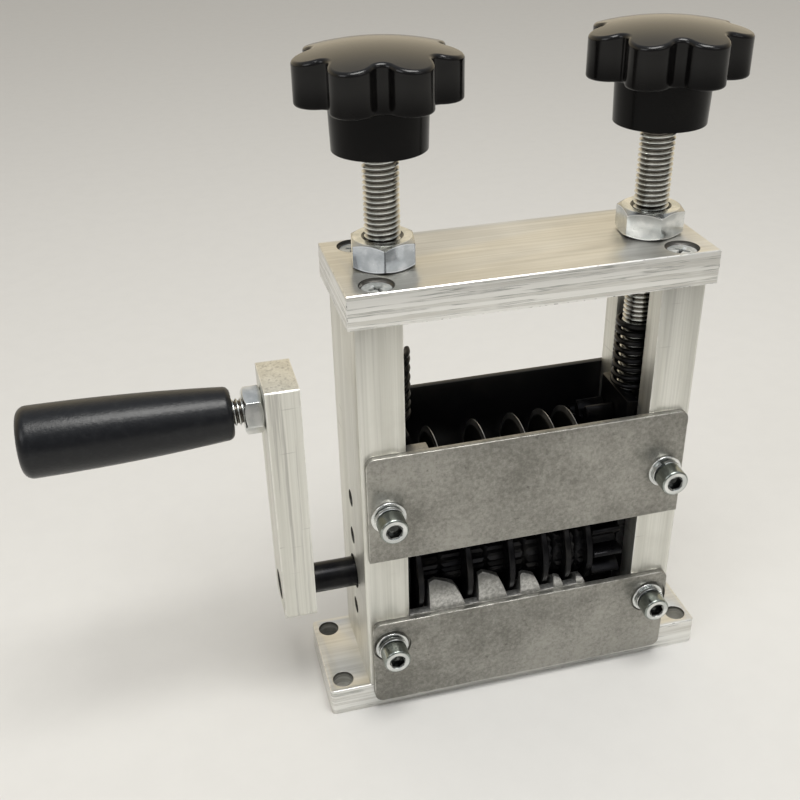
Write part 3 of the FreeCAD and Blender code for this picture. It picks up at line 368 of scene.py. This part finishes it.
def nutZinc(s, own):
    # Painted shade in the countersunk mouth, a painted contact shadow along the foot, and chamfer cones at
    # both ends painted dull with a painted highlight line below them
    f = Finish(own["finish"])
    x, y, z = f.coordinates()
    low, high, cone = s["low"], s["high"], s["coneRadius"]
    out = f.fromLine(x - own["x"] * mm, y)
    # The mouth and the foot are painted dark: painted shade
    mouth = out.near(own["mouth"] * mm, (own["mouth"] + 0.2) * mm)
    foot = z.near((low + 0.08) * mm, (low + 0.4) * mm)
    ends = (high * mm - z).least(z - low * mm)
    under = ends - (out - cone * mm) * s["coneSlope"]
    # The chamfer cones are painted dull and a line under them bright: painted shade and painted highlight
    face = under.near(0.03 * mm, 0.12 * mm) * out.held((cone + 0.03) * mm, (cone + 0.28) * mm)
    rim = under.held(0.03 * mm, 0.12 * mm) * under.near(0.2 * mm, 0.42 * mm)
    rim = rim * out.held((cone + 0.13) * mm, (cone + 0.33) * mm)
    return brightZinc(f, [(face * 0.6, (0.33, 0.33, 0.31)), (rim * 0.85, (0.97, 0.97, 0.96)),
                          (mouth * 0.92, zincSettings["painted_shade"]), (foot * 0.85, zincSettings["painted_shade"])])


def capScrewZinc(name, s):
    # Painted shade on the head's rounding and side, with painted highlight streaks, and a socket painted
    # black with a few painted glints
    f = Finish(name)
    x, y, z = f.coordinates()
    lower, upper = s["heights"]
    up = (z - lower * mm).size().least((z - upper * mm).size())
    out = f.fromLine(x.size() - s["x"] * mm, up)
    # The head's side is painted darker with lighter painted highlights, the socket black with painted glints:
    # painted shade and painted reflection
    side = out.held((s["headRadius"] - 0.67) * mm, (s["headRadius"] - 0.47) * mm)
    painted_glint = f.noise(1.0, 3.0, 0.6, f.scaled(500.0, 60.0, 500.0)).held(0.52, 0.68)
    socket = out.near((s["socket"] / 2 + 0.3) * mm, (s["socket"] / 2 + 0.62) * mm)
    painted_socket_glint = f.noise(520.0, 2.0, 0.5).held(0.50, 0.62)
    return brightZinc(f, [(side * 0.85, (0.22, 0.25, 0.225)), (side * painted_glint * 0.5, (0.55, 0.58, 0.55)),
                          (socket * 0.93, (0.03, 0.032, 0.03)), (socket * painted_socket_glint * 0.7, (0.33, 0.34, 0.33))])


def crossScrewZinc(own):
    # Painted shade in the cross and round the rim
    f = Finish(own["finish"])
    x, y, z = f.coordinates()
    away = f.fromLine(x.size() - own["x"] * mm, y.size() - own["y"] * mm)
    # The rim and the cross are painted dark: painted shade
    rim = away.held((own["head"] - 0.55) * mm, (own["head"] - 0.1) * mm)
    deep = (own["face"] * mm - z) * own["out"]
    painted_shade = rim.most(deep.held(0.15 * mm, 0.8 * mm) * 0.85)
    scuff = f.noise(700.0, 3.0, 0.6).held(0.45, 0.6)
    color = [(painted_shade * 0.92, zincSettings["painted_shade"]), (scuff * 0.3 * (1 - painted_shade), (0.97, 0.97, 0.96))]
    return brightZinc(f, color, (0.5, 0.72))


def blackOxide(name):
    # Blued steel with a film of oil, rubbed a little browner on its high spots
    f = Finish(name)
    film = f.noise(160.0, 4.0, 0.6)
    grain = f.noise(900.0, 2.0, 0.6)
    color = f.mix(film.held(0.4, 0.75), (0.006, 0.006, 0.0075), (0.020, 0.019, 0.018))
    return f.set(color=color, metal=0.7, rough=(film * 0.5 + grain * 0.5).spread(0.20, 0.40), gloss=0.4,
                 normal=f.bump(grain, 0.12, 0.00003))


def blackPaint(name):
    f = Finish(name)
    peel = f.noise(420.0, 2.0, 0.5)
    dust = f.noise(60.0, 4.0, 0.65)
    color = f.mix(dust.held(0.5, 0.8), (0.006, 0.006, 0.007), (0.017, 0.016, 0.016))
    return f.set(color=color, metal=0.0, rough=dust.spread(0.28, 0.48), gloss=0.35,
                 normal=f.bump(peel, 0.12, 0.00004))


def toolSteel(name, node):
    # Flanks ground in rings and darker, with a bright bevel at the cutting edge
    f = Finish(name)
    x, y, z = f.coordinates()
    low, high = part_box(node)
    radius = (high[1] - low[1]) / 2
    out = f.fromLine(y, z - (low[2] + high[2]) / 2)
    grind = f.noise(1.0, 2.0, 0.6, f.scaled(400.0, 90.0, 90.0))
    cloud = f.noise(140.0, 3.0, 0.6)
    color = f.mix((grind * 0.5 + cloud * 0.5).held(0.35, 0.7), (0.42, 0.415, 0.40), (0.68, 0.675, 0.655))
    flank = out.near(radius - 2.2 * mm, radius - 1.5 * mm)
    color = f.mix(flank * 0.9, color, (0.045, 0.043, 0.04))
    return f.set(color=color, metal=1.0, rough=cloud.spread(0.30, 0.50), normal=f.bump(grind, 0.1, 0.00002))


def turnedBronze(name):
    f = Finish(name)
    turn = f.noise(1.0, 2.0, 0.6, f.scaled(900.0, 60.0, 60.0))
    color = f.mix(turn.held(0.35, 0.7), (0.40, 0.25, 0.10), (0.60, 0.41, 0.19))
    return f.set(color=color, metal=1.0, rough=turn.spread(0.26, 0.44), normal=f.bump(turn, 0.15, 0.00002))


knobSettings = {"color": (0.0026, 0.0024, 0.0025), "worn": (0.0065, 0.006, 0.0055), "rough": (0.15, 0.26),
                "hubTop": 195.0, "lobeTop": 203.0}


def knobPlastic(name):
    # Moulded black, most polished on the crown where hands rub it, with flow marks and fine scratches
    f = Finish(name)
    x, y, z = f.coordinates()
    flow = f.noise(70.0, 3.0, 0.5)
    scuff = f.noise(650.0, 4.0, 0.65)
    color = f.mix(flow.held(0.45, 0.8), knobSettings["color"], knobSettings["worn"])
    polish = z.held(knobSettings["hubTop"] * mm, knobSettings["lobeTop"] * mm)
    rough = (flow * 0.5 + scuff * 0.5).spread(*knobSettings["rough"])
    return f.set(color=color, metal=0.0, rough=rough, gloss=0.12, coat=polish * 0.5, coatRough=0.2,
                 normal=f.bump(flow * 0.6 + scuff * 0.4, 0.06, 0.0001))


gripSettings = {"color": (0.0035, 0.0042, 0.006), "worn": (0.009, 0.010, 0.012), "rough": (0.24, 0.40)}


def gripPlastic(name):
    # Moulded grip with a fine pebbled skin, so its highlight breaks up
    f = Finish(name)
    pebble = f.noise(420.0, 4.0, 0.65)
    pores = f.noise(1300.0, 2.0, 0.5)
    color = f.mix(pebble.held(0.45, 0.8), gripSettings["color"], gripSettings["worn"])
    return f.set(color=color, metal=0.0, rough=(pebble * 0.6 + pores * 0.4).spread(*gripSettings["rough"]),
                 gloss=0.38, normal=f.bump(pebble * 0.7 + pores * 0.3, 0.5, 0.00022))


finishes = {
    "comb_steel": combSteel("combSteel"),
    "zinc": brightZinc(Finish("zinc")),
    "black_oxide": blackOxide("blackOxide"),
    "black_paint": blackPaint("blackPaint"),
    "bronze": turnedBronze("turnedBronze"),
    "knob_plastic": knobPlastic("knobPlastic"),
    "grip_plastic": gripPlastic("gripPlastic"),
}
finishOf = {
    "upper_front_plate": plateSteel("upperPlateSteel", "upper_front_plate"),
    "lower_front_plate": plateSteel("lowerPlateSteel", "lower_front_plate"),
}
for node in ("left_column", "right_column", "crank_arm"):
    finishOf[node] = drawnAluminium(node)
for node in ("top_plate", "base_plate"):
    finishOf[node] = sawnAluminium(node)
for n in range(1, 6):
    finishOf[f"blade_{n}"] = toolSteel(f"bladeSteel{n}", f"blade_{n}")
slotOf = {part["node"]: part["material_slot"] for part in frame["record"]["subparts"]}
bodyOf = {node: body for body, members in frame["record"]["behaviour"]["bodies"].items() for node in members}


def dress(piece, node):
    piece.data.materials.clear()
    piece.data.materials.append(finishOf.get(node) or finishes[slotOf[node]])


for name, piece in nodes.items():
    dress(piece, name)
print("finishes made:", len(finishes) + len(finishOf))


# Modelling helpers, all through the operators a person would use

def deselectAll():
    if bpy.context.mode != "OBJECT":
        bpy.ops.object.mode_set(mode="OBJECT")
    bpy.ops.object.select_all(action="DESELECT")


def pick(piece):
    deselectAll()
    piece.select_set(True)
    bpy.context.view_layer.objects.active = piece


def named(name):
    piece = bpy.context.active_object
    piece.name = name
    piece.data.name = name
    return piece


def editAll(piece):
    pick(piece)
    bpy.ops.object.mode_set(mode="EDIT")
    bpy.ops.mesh.select_all(action="SELECT")


def leaveEdit():
    bpy.ops.object.mode_set(mode="OBJECT")


def cleaned(piece):
    editAll(piece)
    bpy.ops.mesh.remove_doubles(threshold=0.000001)
    bpy.ops.mesh.normals_make_consistent(inside=False)
    leaveEdit()
    return piece


def settled(piece):
    # The object goes to the origin, unturned, and its place goes into its mesh
    pick(piece)
    bpy.ops.object.transform_apply(location=True, rotation=True, scale=True)
    return piece


def smooth(piece, angle=32.0):
    pick(piece)
    bpy.ops.object.shade_smooth_by_angle(angle=radians(angle))
    return piece


def applied(piece, kind, **settings):
    pick(piece)
    modifier = piece.modifiers.new(kind.lower(), kind)
    for key, value in settings.items():
        setattr(modifier, key, value)
    bpy.ops.object.modifier_apply(modifier=modifier.name)
    return piece


def standsFor(piece, node):
    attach(piece, bodyOf[node])
    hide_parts(node)
    dress(piece, node)
    return piece


def drawnLine(name, points):
    # A line in the XZ plane, drawn point by point; points in mm
    deselectAll()
    x, z = points[0]
    bpy.ops.mesh.primitive_plane_add(size=0.001, location=(0.0, 0.0, 0.0))
    piece = named(name)
    bpy.ops.object.mode_set(mode="EDIT")
    bpy.ops.mesh.select_all(action="SELECT")
    bpy.ops.mesh.merge(type="CENTER")
    bpy.ops.transform.translate(value=(x * mm, 0.0, z * mm))
    for nextX, nextZ in points[1:]:
        step = ((nextX - x) * mm, 0.0, (nextZ - z) * mm)
        bpy.ops.mesh.extrude_region_move(TRANSFORM_OT_translate={"value": step})
        x, z = nextX, nextZ
    leaveEdit()
    return piece


def turned(name, points, steps=48):
    # A profile of (radius, height) points, turned once round Z
    piece = drawnLine(name, points)
    editAll(piece)
    bpy.ops.mesh.spin(steps=steps, angle=2 * pi, center=(0.0, 0.0, 0.0), axis=(0.0, 0.0, 1.0))
    bpy.ops.mesh.select_all(action="SELECT")
    bpy.ops.mesh.remove_doubles(threshold=0.0000005)
    bpy.ops.mesh.dissolve_degenerate(threshold=0.0000005)
    bpy.ops.mesh.select_all(action="SELECT")
    bpy.ops.mesh.normals_make_consistent(inside=False)
    leaveEdit()
    return piece


def roundCorner(x, z, radius, start, end, steps=4):
    # Points of an arc about (x, z), angles in degrees
    out = []
    for k in range(steps + 1):
        a = radians(start + (end - start) * k / steps)
        out.append((x + radius * cos(a), z + radius * sin(a)))
    return out


def moved(piece, x=0.0, y=0.0, z=0.0, turn=None):
    # Turn is (degrees, axis); place in mm
    if turn:
        piece.matrix_world = Matrix.Rotation(radians(turn[0]), 4, turn[1]) @ piece.matrix_world
    piece.matrix_world = Matrix.Translation(Vector((x, y, z)) * mm) @ piece.matrix_world
    return settled(piece)


def copied(piece, name):
    pick(piece)
    bpy.ops.object.duplicate()
    return named(name)


def joined(pieces, name):
    deselectAll()
    for piece in pieces:
        piece.select_set(True)
    bpy.context.view_layer.objects.active = pieces[0]
    bpy.ops.object.join()
    return named(name)


# Machined and sheet parts: a merged copy of the node, its edges broken

def mergedCopy(node, merge=0.000002, flatten=0.6):
    deselectAll()
    piece = bpy.data.objects.new(node + ".finished", nodes[node].data.copy())
    bpy.context.scene.collection.objects.link(piece)
    editAll(piece)
    bpy.ops.mesh.remove_doubles(threshold=merge)
    bpy.ops.mesh.dissolve_limited(angle_limit=radians(flatten), use_dissolve_boundaries=False)
    leaveEdit()
    return piece


def brokenEdges(node, width, segments=2, angle=30.0):
    piece = mergedCopy(node)
    applied(piece, "BEVEL", width=width * mm, segments=segments, limit_method="ANGLE",
            angle_limit=radians(angle), harden_normals=False, miter_outer="MITER_ARC", use_clamp_overlap=True)
    smooth(piece, 40.0)
    return standsFor(piece, node)


edgeBreaks = {
    "left_column": 0.35, "right_column": 0.35, "top_plate": 0.13, "base_plate": 0.3,
    "upper_front_plate": 0.22, "lower_front_plate": 0.22, "rear_guide_plate": 0.25,
    "crank_arm": 0.35, "upper_comb": 0.15, "lower_comb": 0.12,
    "upper_block_left": 0.25, "upper_block_right": 0.25, "lower_block_left": 0.25, "lower_block_right": 0.25,
    "lower_gear": 0.15, "upper_gear": 0.15,
}
for node, width in edgeBreaks.items():
    brokenEdges(node, width)
print("edges broken on", len(edgeBreaks), "parts")


# Threads: one pitch of the flank, wound up the rod and cut flat at both ends

def cutFlat(piece, low, high):
    for height, side in ((low, "clear_inner"), (high, "clear_outer")):
        editAll(piece)
        bpy.ops.mesh.bisect(plane_co=(0.0, 0.0, height * mm), plane_no=(0.0, 0.0, 1.0), use_fill=True,
                            **{side: True})
        leaveEdit()
    return cleaned(piece)


def threadedRod(name, radius, pitch, low, high, steps=36):
    root = radius - 0.61 * pitch
    start = low - 1.5 * pitch
    points = [(root, start), (root, start + 0.12 * pitch), (radius, start + 0.49 * pitch),
              (radius, start + 0.63 * pitch), (root, start + pitch)]
    piece = drawnLine(name, points)
    applied(piece, "SCREW", axis="Z", screw_offset=pitch * mm, iterations=int((high - low) / pitch) + 4,
            steps=steps, render_steps=steps, use_merge_vertices=False, use_smooth_shade=False)
    cleaned(piece)
    return cutFlat(piece, low, high)


def combined(piece, tool, operation):
    applied(piece, "BOOLEAN", object=tool, operation=operation, solver="EXACT")
    bpy.data.objects.remove(tool, do_unlink=True)
    return piece


# Adjusting screws: coarse thread, with a turned neck and button hooked into the upper block

adjusterSettings = {
    "left_screw": {"x": -38.8, "turn": 0.0, "finish": "leftScrewZinc"},
    "right_screw": {"x": 40.6, "turn": 140.0, "finish": "rightScrewZinc"},
    "radius": 5.0, "pitch": 1.5, "foot": 98.7, "top": 199.3,
    "neckRadius": 2.3, "buttonRadius": 3.2, "buttonTop": 95.1, "buttonHeight": 3.0,
}


def adjustingScrew(node):
    s, own = adjusterSettings, adjusterSettings[node]
    rod = threadedRod(node + ".finished", s["radius"], s["pitch"], s["foot"], s["top"])
    low, r = s["buttonTop"] - s["buttonHeight"], s["buttonRadius"]
    high, neck, overlap = s["buttonTop"], s["neckRadius"], s["foot"] + 0.4
    profile = [(0.0, low), (r - 0.4, low), (r, low + 0.4), (r, high - 0.3), (r - 0.3, high),
               (neck, high), (neck, overlap), (0.0, overlap)]
    combined(rod, turned("button", profile), "UNION")
    smooth(rod, 50.0)
    moved(rod, x=own["x"], turn=(own["turn"], "Z"))
    finishOf[node] = threadZinc(own["finish"], (own["x"], 0.0), s["radius"], s["pitch"])
    return standsFor(rod, node)


for node in ("left_screw", "right_screw"):
    adjustingScrew(node)
print("adjusting screws threaded")


# Hexagon nuts: the node's chamfered body, its bore countersunk at both ends

nutSettings = {
    "left_lock_nut": {"x": -38.8, "bore": 5.05, "mouth": 5.75, "finish": "leftNutZinc"},
    "right_lock_nut": {"x": 40.6, "bore": 5.05, "mouth": 5.75, "finish": "rightNutZinc"},
    "low": 150.0, "high": 158.0, "edge": 0.12, "coneRadius": 8.07, "coneSlope": 0.577,
}


def finishedNut(nut, node):
    applied(nut, "BEVEL", width=nutSettings["edge"] * mm, segments=2, limit_method="ANGLE",
            angle_limit=radians(25.0), use_clamp_overlap=True)
    smooth(nut, 35.0)
    return standsFor(nut, node)


def lockNut(node):
    s, own = nutSettings, nutSettings[node]
    nut = mergedCopy(node)
    deep = own["mouth"] - own["bore"]
    for face, out in ((s["high"], 1.0), (s["low"], -1.0)):
        sink = turned("sink", [(0.0, face - out * deep), (own["bore"], face - out * deep),
                               (own["mouth"] + 0.5, face + out * 0.5), (0.0, face + out * 0.5)])
        moved(sink, x=own["x"])
        combined(nut, sink, "DIFFERENCE")
    finishOf[node] = nutZinc(s, own)
    return finishedNut(nut, node)


for node in ("left_lock_nut", "right_lock_nut"):
    lockNut(node)
print("lock nuts finished")


# Handle spindle: a threaded stud with its head inside the grip, turned to lie along X

spindleSettings = {"radius": 4.0, "pitch": 1.25, "axisZ": 109.3, "headLeft": -140.1, "headRight": -137.1,
                   "end": -66.4, "headRadius": 6.0, "threadFrom": -90.0}


def handleSpindle(s):
    rod = threadedRod("handle_spindle.finished", s["radius"], s["pitch"], s["threadFrom"], s["end"])
    low, high, head = s["headLeft"], s["headRight"], s["headRadius"]
    plain, overlap = s["radius"] - 0.02, s["threadFrom"] + 0.4
    stem = [(0.0, low), (head - 0.4, low), (head, low + 0.4), (head, high - 0.3), (head - 0.3, high),
            (plain, high), (plain, overlap), (0.0, overlap)]
    combined(rod, turned("stem", stem), "UNION")
    smooth(rod, 50.0)
    moved(rod, z=s["axisZ"], turn=(90.0, "Y"))
    axis = (0.0, s["axisZ"])
    finishOf["handle_spindle"] = threadZinc("spindleZinc", axis, s["radius"], s["pitch"], alongX=True)
    return standsFor(rod, "handle_spindle")


handleSpindle(spindleSettings)
finishedNut(mergedCopy("handle_nut"), "handle_nut")
print("handle spindle and nut finished")


# Countersunk cross-head screws; spots are (side along X, side along Y, turn of the cross)

crossSettings = {
    "top_plate_screws": {"finish": "topScrewZinc", "x": 44.1, "y": 14.3, "face": 148.95, "out": 1,
                         "radius": 2.5, "head": 4.5, "length": 22.0,
                         "spots": [(-1, -1, 20), (-1, 1, 65), (1, -1, 40), (1, 1, 5)]},
    "base_screws": {"finish": "baseScrewZinc", "x": 44.1, "y": 12.9, "face": 1.05, "out": -1,
                    "radius": 2.0, "head": 3.6, "length": 20.0,
                    "spots": [(-1, -1, 10), (-1, 1, 50), (1, -1, 75), (1, 1, 30)]},
    "comb_screws": {"finish": "combScrewZinc", "x": 26.0, "y": 13.8, "face": 1.05, "out": -1,
                    "radius": 1.5, "head": 2.8, "length": 20.0,
                    "spots": [(-1, -1, 25), (1, -1, 70)]},
    "slotWidth": 0.27, "slotReach": 0.58, "slotDepth": 0.42,
}


def crossBar(width, reach, depth, turn):
    # A bar that narrows downwards, its top a little over the screw's face
    deselectAll()
    bpy.ops.mesh.primitive_cube_add(size=1.0, location=(0.0, 0.0, 0.0))
    bar = named("crossBar")
    bar.scale = (2 * reach * mm, width * mm, depth * mm)
    bar.location = (0.0, 0.0, -depth / 2 * mm + 0.3 * mm)
    settled(bar)
    pick(bar)
    bpy.ops.object.mode_set(mode="EDIT")
    bpy.ops.mesh.select_all(action="DESELECT")
    leaveEdit()
    for corner in bar.data.vertices:
        corner.select = corner.co.z < -depth * 0.4 * mm
    bpy.ops.object.mode_set(mode="EDIT")
    bpy.ops.transform.resize(value=(0.45, 0.7, 1.0), center_override=(0.0, 0.0, 0.0))
    leaveEdit()
    return moved(bar, turn=(turn, "Z"))


def crossScrew(s, own):
    r, head = own["radius"], own["head"]
    under = head - r
    profile = [(0.0, -own["length"]), (r - 0.5, -own["length"]), (r, -own["length"] + 0.5), (r, -under),
               (head - 0.12, -0.12), (head - 0.12, 0.0), (head * 0.75, 0.12), (0.0, 0.16)]
    screw = turned("crossScrew", profile, steps=40)
    for turn in (0.0, 90.0):
        bar = crossBar(s["slotWidth"] * head, s["slotReach"] * head, s["slotDepth"] * head, turn)
        combined(screw, bar, "DIFFERENCE")
    smooth(screw, 30.0)
    return screw


def crossScrews(node):
    own = crossSettings[node]
    model = crossScrew(crossSettings, own)
    pieces = []
    for sideX, sideY, turn in own["spots"]:
        piece = copied(model, node)
        if own["out"] < 0:
            moved(piece, turn=(180.0, "X"))
        moved(piece, turn=(turn, "Z"))
        pieces.append(moved(piece, x=sideX * own["x"], y=sideY * own["y"], z=own["face"]))
    bpy.data.objects.remove(model, do_unlink=True)
    finishOf[node] = crossScrewZinc(own)
    return standsFor(joined(pieces, node + ".finished"), node)


for node in ("top_plate_screws", "base_screws", "comb_screws"):
    crossScrews(node)
print("cross-head screws finished")


# Socket head screws with a flat and a split washer each

plateScrewSettings = {
    "x": 44.1, "heights": (26.5, 78.0), "front": -19.5, "back": 19.5, "spotDepth": 1.0,
    "radius": 2.5, "headRadius": 4.25, "headHeight": 5.0, "length": 10.0, "socket": 4.0, "socketDepth": 2.6,
    "flatRadius": 5.4, "flatThickness": 1.0, "splitRadius": 4.6, "splitThickness": 1.3, "splitRise": 0.66,
    "splitAngle": 350.0, "washerStack": 3.0,
    "turns": (12, 48, 31, 5, 22, 55, 40, 17), "splits": (205, 160, 240, 190, 35, 80, 120, 10),
}


def plateScrewPlaces(s):
    places = []
    for side in (-1, 1):
        for height in s["heights"]:
            spot = s["spotDepth"] if height == s["heights"][0] else 0.0
            places.append((side * s["x"], s["front"] + spot, height, 1.0))
            places.append((side * s["x"], s["back"], height, -1.0))
    return places


def socketScrew(s):
    seat = s["washerStack"]
    top = seat + s["headHeight"]
    r, head = s["radius"], s["headRadius"]
    low = seat - s["length"]
    corner = s["socket"] / 2 / cos(pi / 6)
    profile = [(0.0, low), (r - 0.4, low), (r, low + 0.4), (r, seat)]
    profile += [(head - 0.15, seat), (head, seat + 0.15)]
    profile += roundCorner(head - 0.65, top - 0.65, 0.65, 0.0, 90.0, 5)
    profile += [(corner + 0.35, top), (corner + 0.05, top - 0.3), (0.0, top - 0.3)]
    screw = turned("socketScrew", profile, steps=48)
    deselectAll()
    bpy.ops.mesh.primitive_cylinder_add(vertices=6, radius=corner * mm, depth=s["socketDepth"] * mm,
                                        location=(0.0, 0.0, (top + 0.3 - s["socketDepth"] / 2) * mm))
    hexagon = settled(named("hexagon"))
    combined(screw, hexagon, "DIFFERENCE")
    tip = [(0.0, top - s["socketDepth"] - 0.35), (s["socket"] / 2 - 0.1, top - s["socketDepth"] + 0.5),
           (0.0, top - s["socketDepth"] + 0.5)]
    combined(screw, turned("drillPoint", tip, steps=24), "DIFFERENCE")
    return smooth(screw, 32.0)


def flatWasher(s):
    inner, outer, high = s["radius"] + 0.15, s["flatRadius"], s["flatThickness"]
    profile = [(inner, 0.1), (inner + 0.1, 0.0), (outer - 0.12, 0.0), (outer, 0.2), (outer, high - 0.35)]
    profile += roundCorner(outer - 0.3, high - 0.3, 0.3, 15.0, 90.0, 3)
    profile += [(inner + 0.1, high), (inner, high - 0.1), (inner, 0.1)]
    return smooth(turned("flatWasher", profile, steps=48), 32.0)


def splitWasher(s):
    inner, outer, low = s["radius"] + 0.15, s["splitRadius"], s["flatThickness"] + 0.02
    high = low + s["splitThickness"]
    points = [(inner, low + 0.1), (inner + 0.1, low), (outer - 0.15, low), (outer, low + 0.15),
              (outer, high - 0.15), (outer - 0.15, high), (inner + 0.1, high), (inner, high - 0.1),
              (inner, low + 0.1)]
    ring = drawnLine("splitWasher", points)
    editAll(ring)
    bpy.ops.mesh.remove_doubles(threshold=0.0000005)
    leaveEdit()
    applied(ring, "SCREW", axis="Z", angle=radians(s["splitAngle"]), screw_offset=s["splitRise"] * mm,
            iterations=1, steps=44, render_steps=44, use_merge_vertices=False, use_smooth_shade=False)
    editAll(ring)
    bpy.ops.mesh.remove_doubles(threshold=0.0000005)
    bpy.ops.mesh.select_all(action="DESELECT")
    bpy.ops.mesh.select_non_manifold()
    bpy.ops.mesh.fill_holes(sides=12)
    leaveEdit()
    return smooth(cleaned(ring), 32.0)


def onPlates(node, model, turns):
    s = plateScrewSettings
    pieces = []
    for (x, y, z, side), turn in zip(plateScrewPlaces(s), turns):
        piece = copied(model, node)
        moved(piece, turn=(turn, "Z"))
        moved(piece, turn=(90.0 * side, "X"))
        pieces.append(moved(piece, x=x, y=y, z=z))
    bpy.data.objects.remove(model, do_unlink=True)
    return standsFor(joined(pieces, node + ".finished"), node)


finishOf["plate_cap_screws"] = capScrewZinc("capScrewZinc", plateScrewSettings)
onPlates("plate_cap_screws", socketScrew(plateScrewSettings), plateScrewSettings["turns"])
onPlates("flat_washers", flatWasher(plateScrewSettings), plateScrewSettings["turns"])
onPlates("spring_washers", splitWasher(plateScrewSettings), plateScrewSettings["splits"])
print("plate screws and washers finished")


# Springs: a round wire wound in three stretches, close at both ends

springSettings = {
    "spring_left": -38.8, "spring_right": 40.6, "mean": 6.15, "wire": 0.85, "foot": 99.45,
    "stretches": ((2.35, 1), (3.02, 6), (2.35, 1)),
}


def windSpring(node):
    s = springSettings
    start = s["foot"]
    pieces = []
    for pitch, turns in s["stretches"]:
        deselectAll()
        bpy.ops.mesh.primitive_circle_add(vertices=12, radius=s["wire"] * mm, rotation=(pi / 2, 0.0, 0.0),
                                          location=(s["mean"] * mm, 0.0, start * mm))
        wire = settled(named(node))
        applied(wire, "SCREW", axis="Z", screw_offset=pitch * mm, iterations=turns, steps=40, render_steps=40,
                use_merge_vertices=False, use_smooth_shade=False)
        pieces.append(wire)
        start += pitch * turns
    coil = joined(pieces, node + ".finished")
    editAll(coil)
    bpy.ops.mesh.remove_doubles(threshold=0.000002)
    bpy.ops.mesh.select_all(action="DESELECT")
    bpy.ops.mesh.select_non_manifold()
    bpy.ops.mesh.fill_holes(sides=16)
    leaveEdit()
    cleaned(coil)
    smooth(coil, 50.0)
    moved(coil, x=s[node])
    return standsFor(coil, node)


for node in ("spring_left", "spring_right"):
    windSpring(node)
print("springs wound")


# Floor and light

stageSettings = {
    "floor": (0.70, 0.69, 0.665), "floorSize": 40.0, "skyStrength": 1.0, "backdrop": (0.392, 0.377, 0.341),
    "zenith": (0.50, 0.52, 0.55), "behind": (0.86, 0.75, 0.56), "before": (0.24, 0.235, 0.23),
    "wallStops": (0.30, 0.75), "zenithFrom": 0.45, "zenithFull": 0.85,
    "lampAim": (0.0, 0.0, 0.08),
}
lamps = [
    ("overhead", (0.04, -0.24, 1.05), (0.55, 0.4), 7.2, (1.0, 0.99, 0.96)),
    ("window", (-0.85, -0.45, 0.75), (0.5, 0.5), 1.8, (0.98, 0.985, 1.0)),
    ("front", (0.45, -0.9, 0.8), (0.6, 0.3), 0.7, (1.0, 0.98, 0.95)),
]


def floorAndLight(s):
    deselectAll()
    bpy.ops.mesh.primitive_plane_add(size=s["floorSize"], location=(0.0, 0.0, 0.0))
    floor = named("floor")
    f = Finish("floorPaint")
    grain = f.noise(90.0, 3.0, 0.6)
    color = f.mix(grain.held(0.35, 0.7), s["floor"], tuple(c * 0.985 for c in s["floor"]))
    floor.data.materials.append(f.set(color=color, rough=0.8))
    world = bpy.data.worlds.new("studio")
    bpy.context.scene.world = world
    world.use_nodes = True
    background = world.node_tree.nodes["Background"]
    background.inputs["Strength"].default_value = s["skyStrength"]
    kit = Kit(world.node_tree)
    x, y, z = kit.axes(kit.node("ShaderNodeTexCoord", out="Generated"))
    stops = tuple(zip(s["wallStops"], (s["before"], s["behind"])))
    wall = kit.node("ShaderNodeValToRGB", {"stops": stops}, y.held(-1.0, 1.0, "LINEAR"))
    sky = kit.mix(z.held(s["zenithFrom"], s["zenithFull"], "LINEAR"), wall, s["zenith"])
    seen = kit.node("ShaderNodeLightPath", out="Is Camera Ray")
    kit.feed(background.inputs["Color"], kit.mix(seen, sky, s["backdrop"]))  # a wall as pale as the far floor
    for name, place, size, power, color in lamps:
        data = bpy.data.lights.new(name, "AREA")
        data.shape = "RECTANGLE"
        data.size, data.size_y = size
        data.energy = power
        data.color = color
        lamp = bpy.data.objects.new(name, data)
        bpy.context.scene.collection.objects.link(lamp)
        lamp.location = place
        aim = Vector(s["lampAim"]) - Vector(place)
        lamp.rotation_euler = aim.to_track_quat("-Z", "Y").to_euler()


floorAndLight(stageSettings)
print("floor and lights ready")
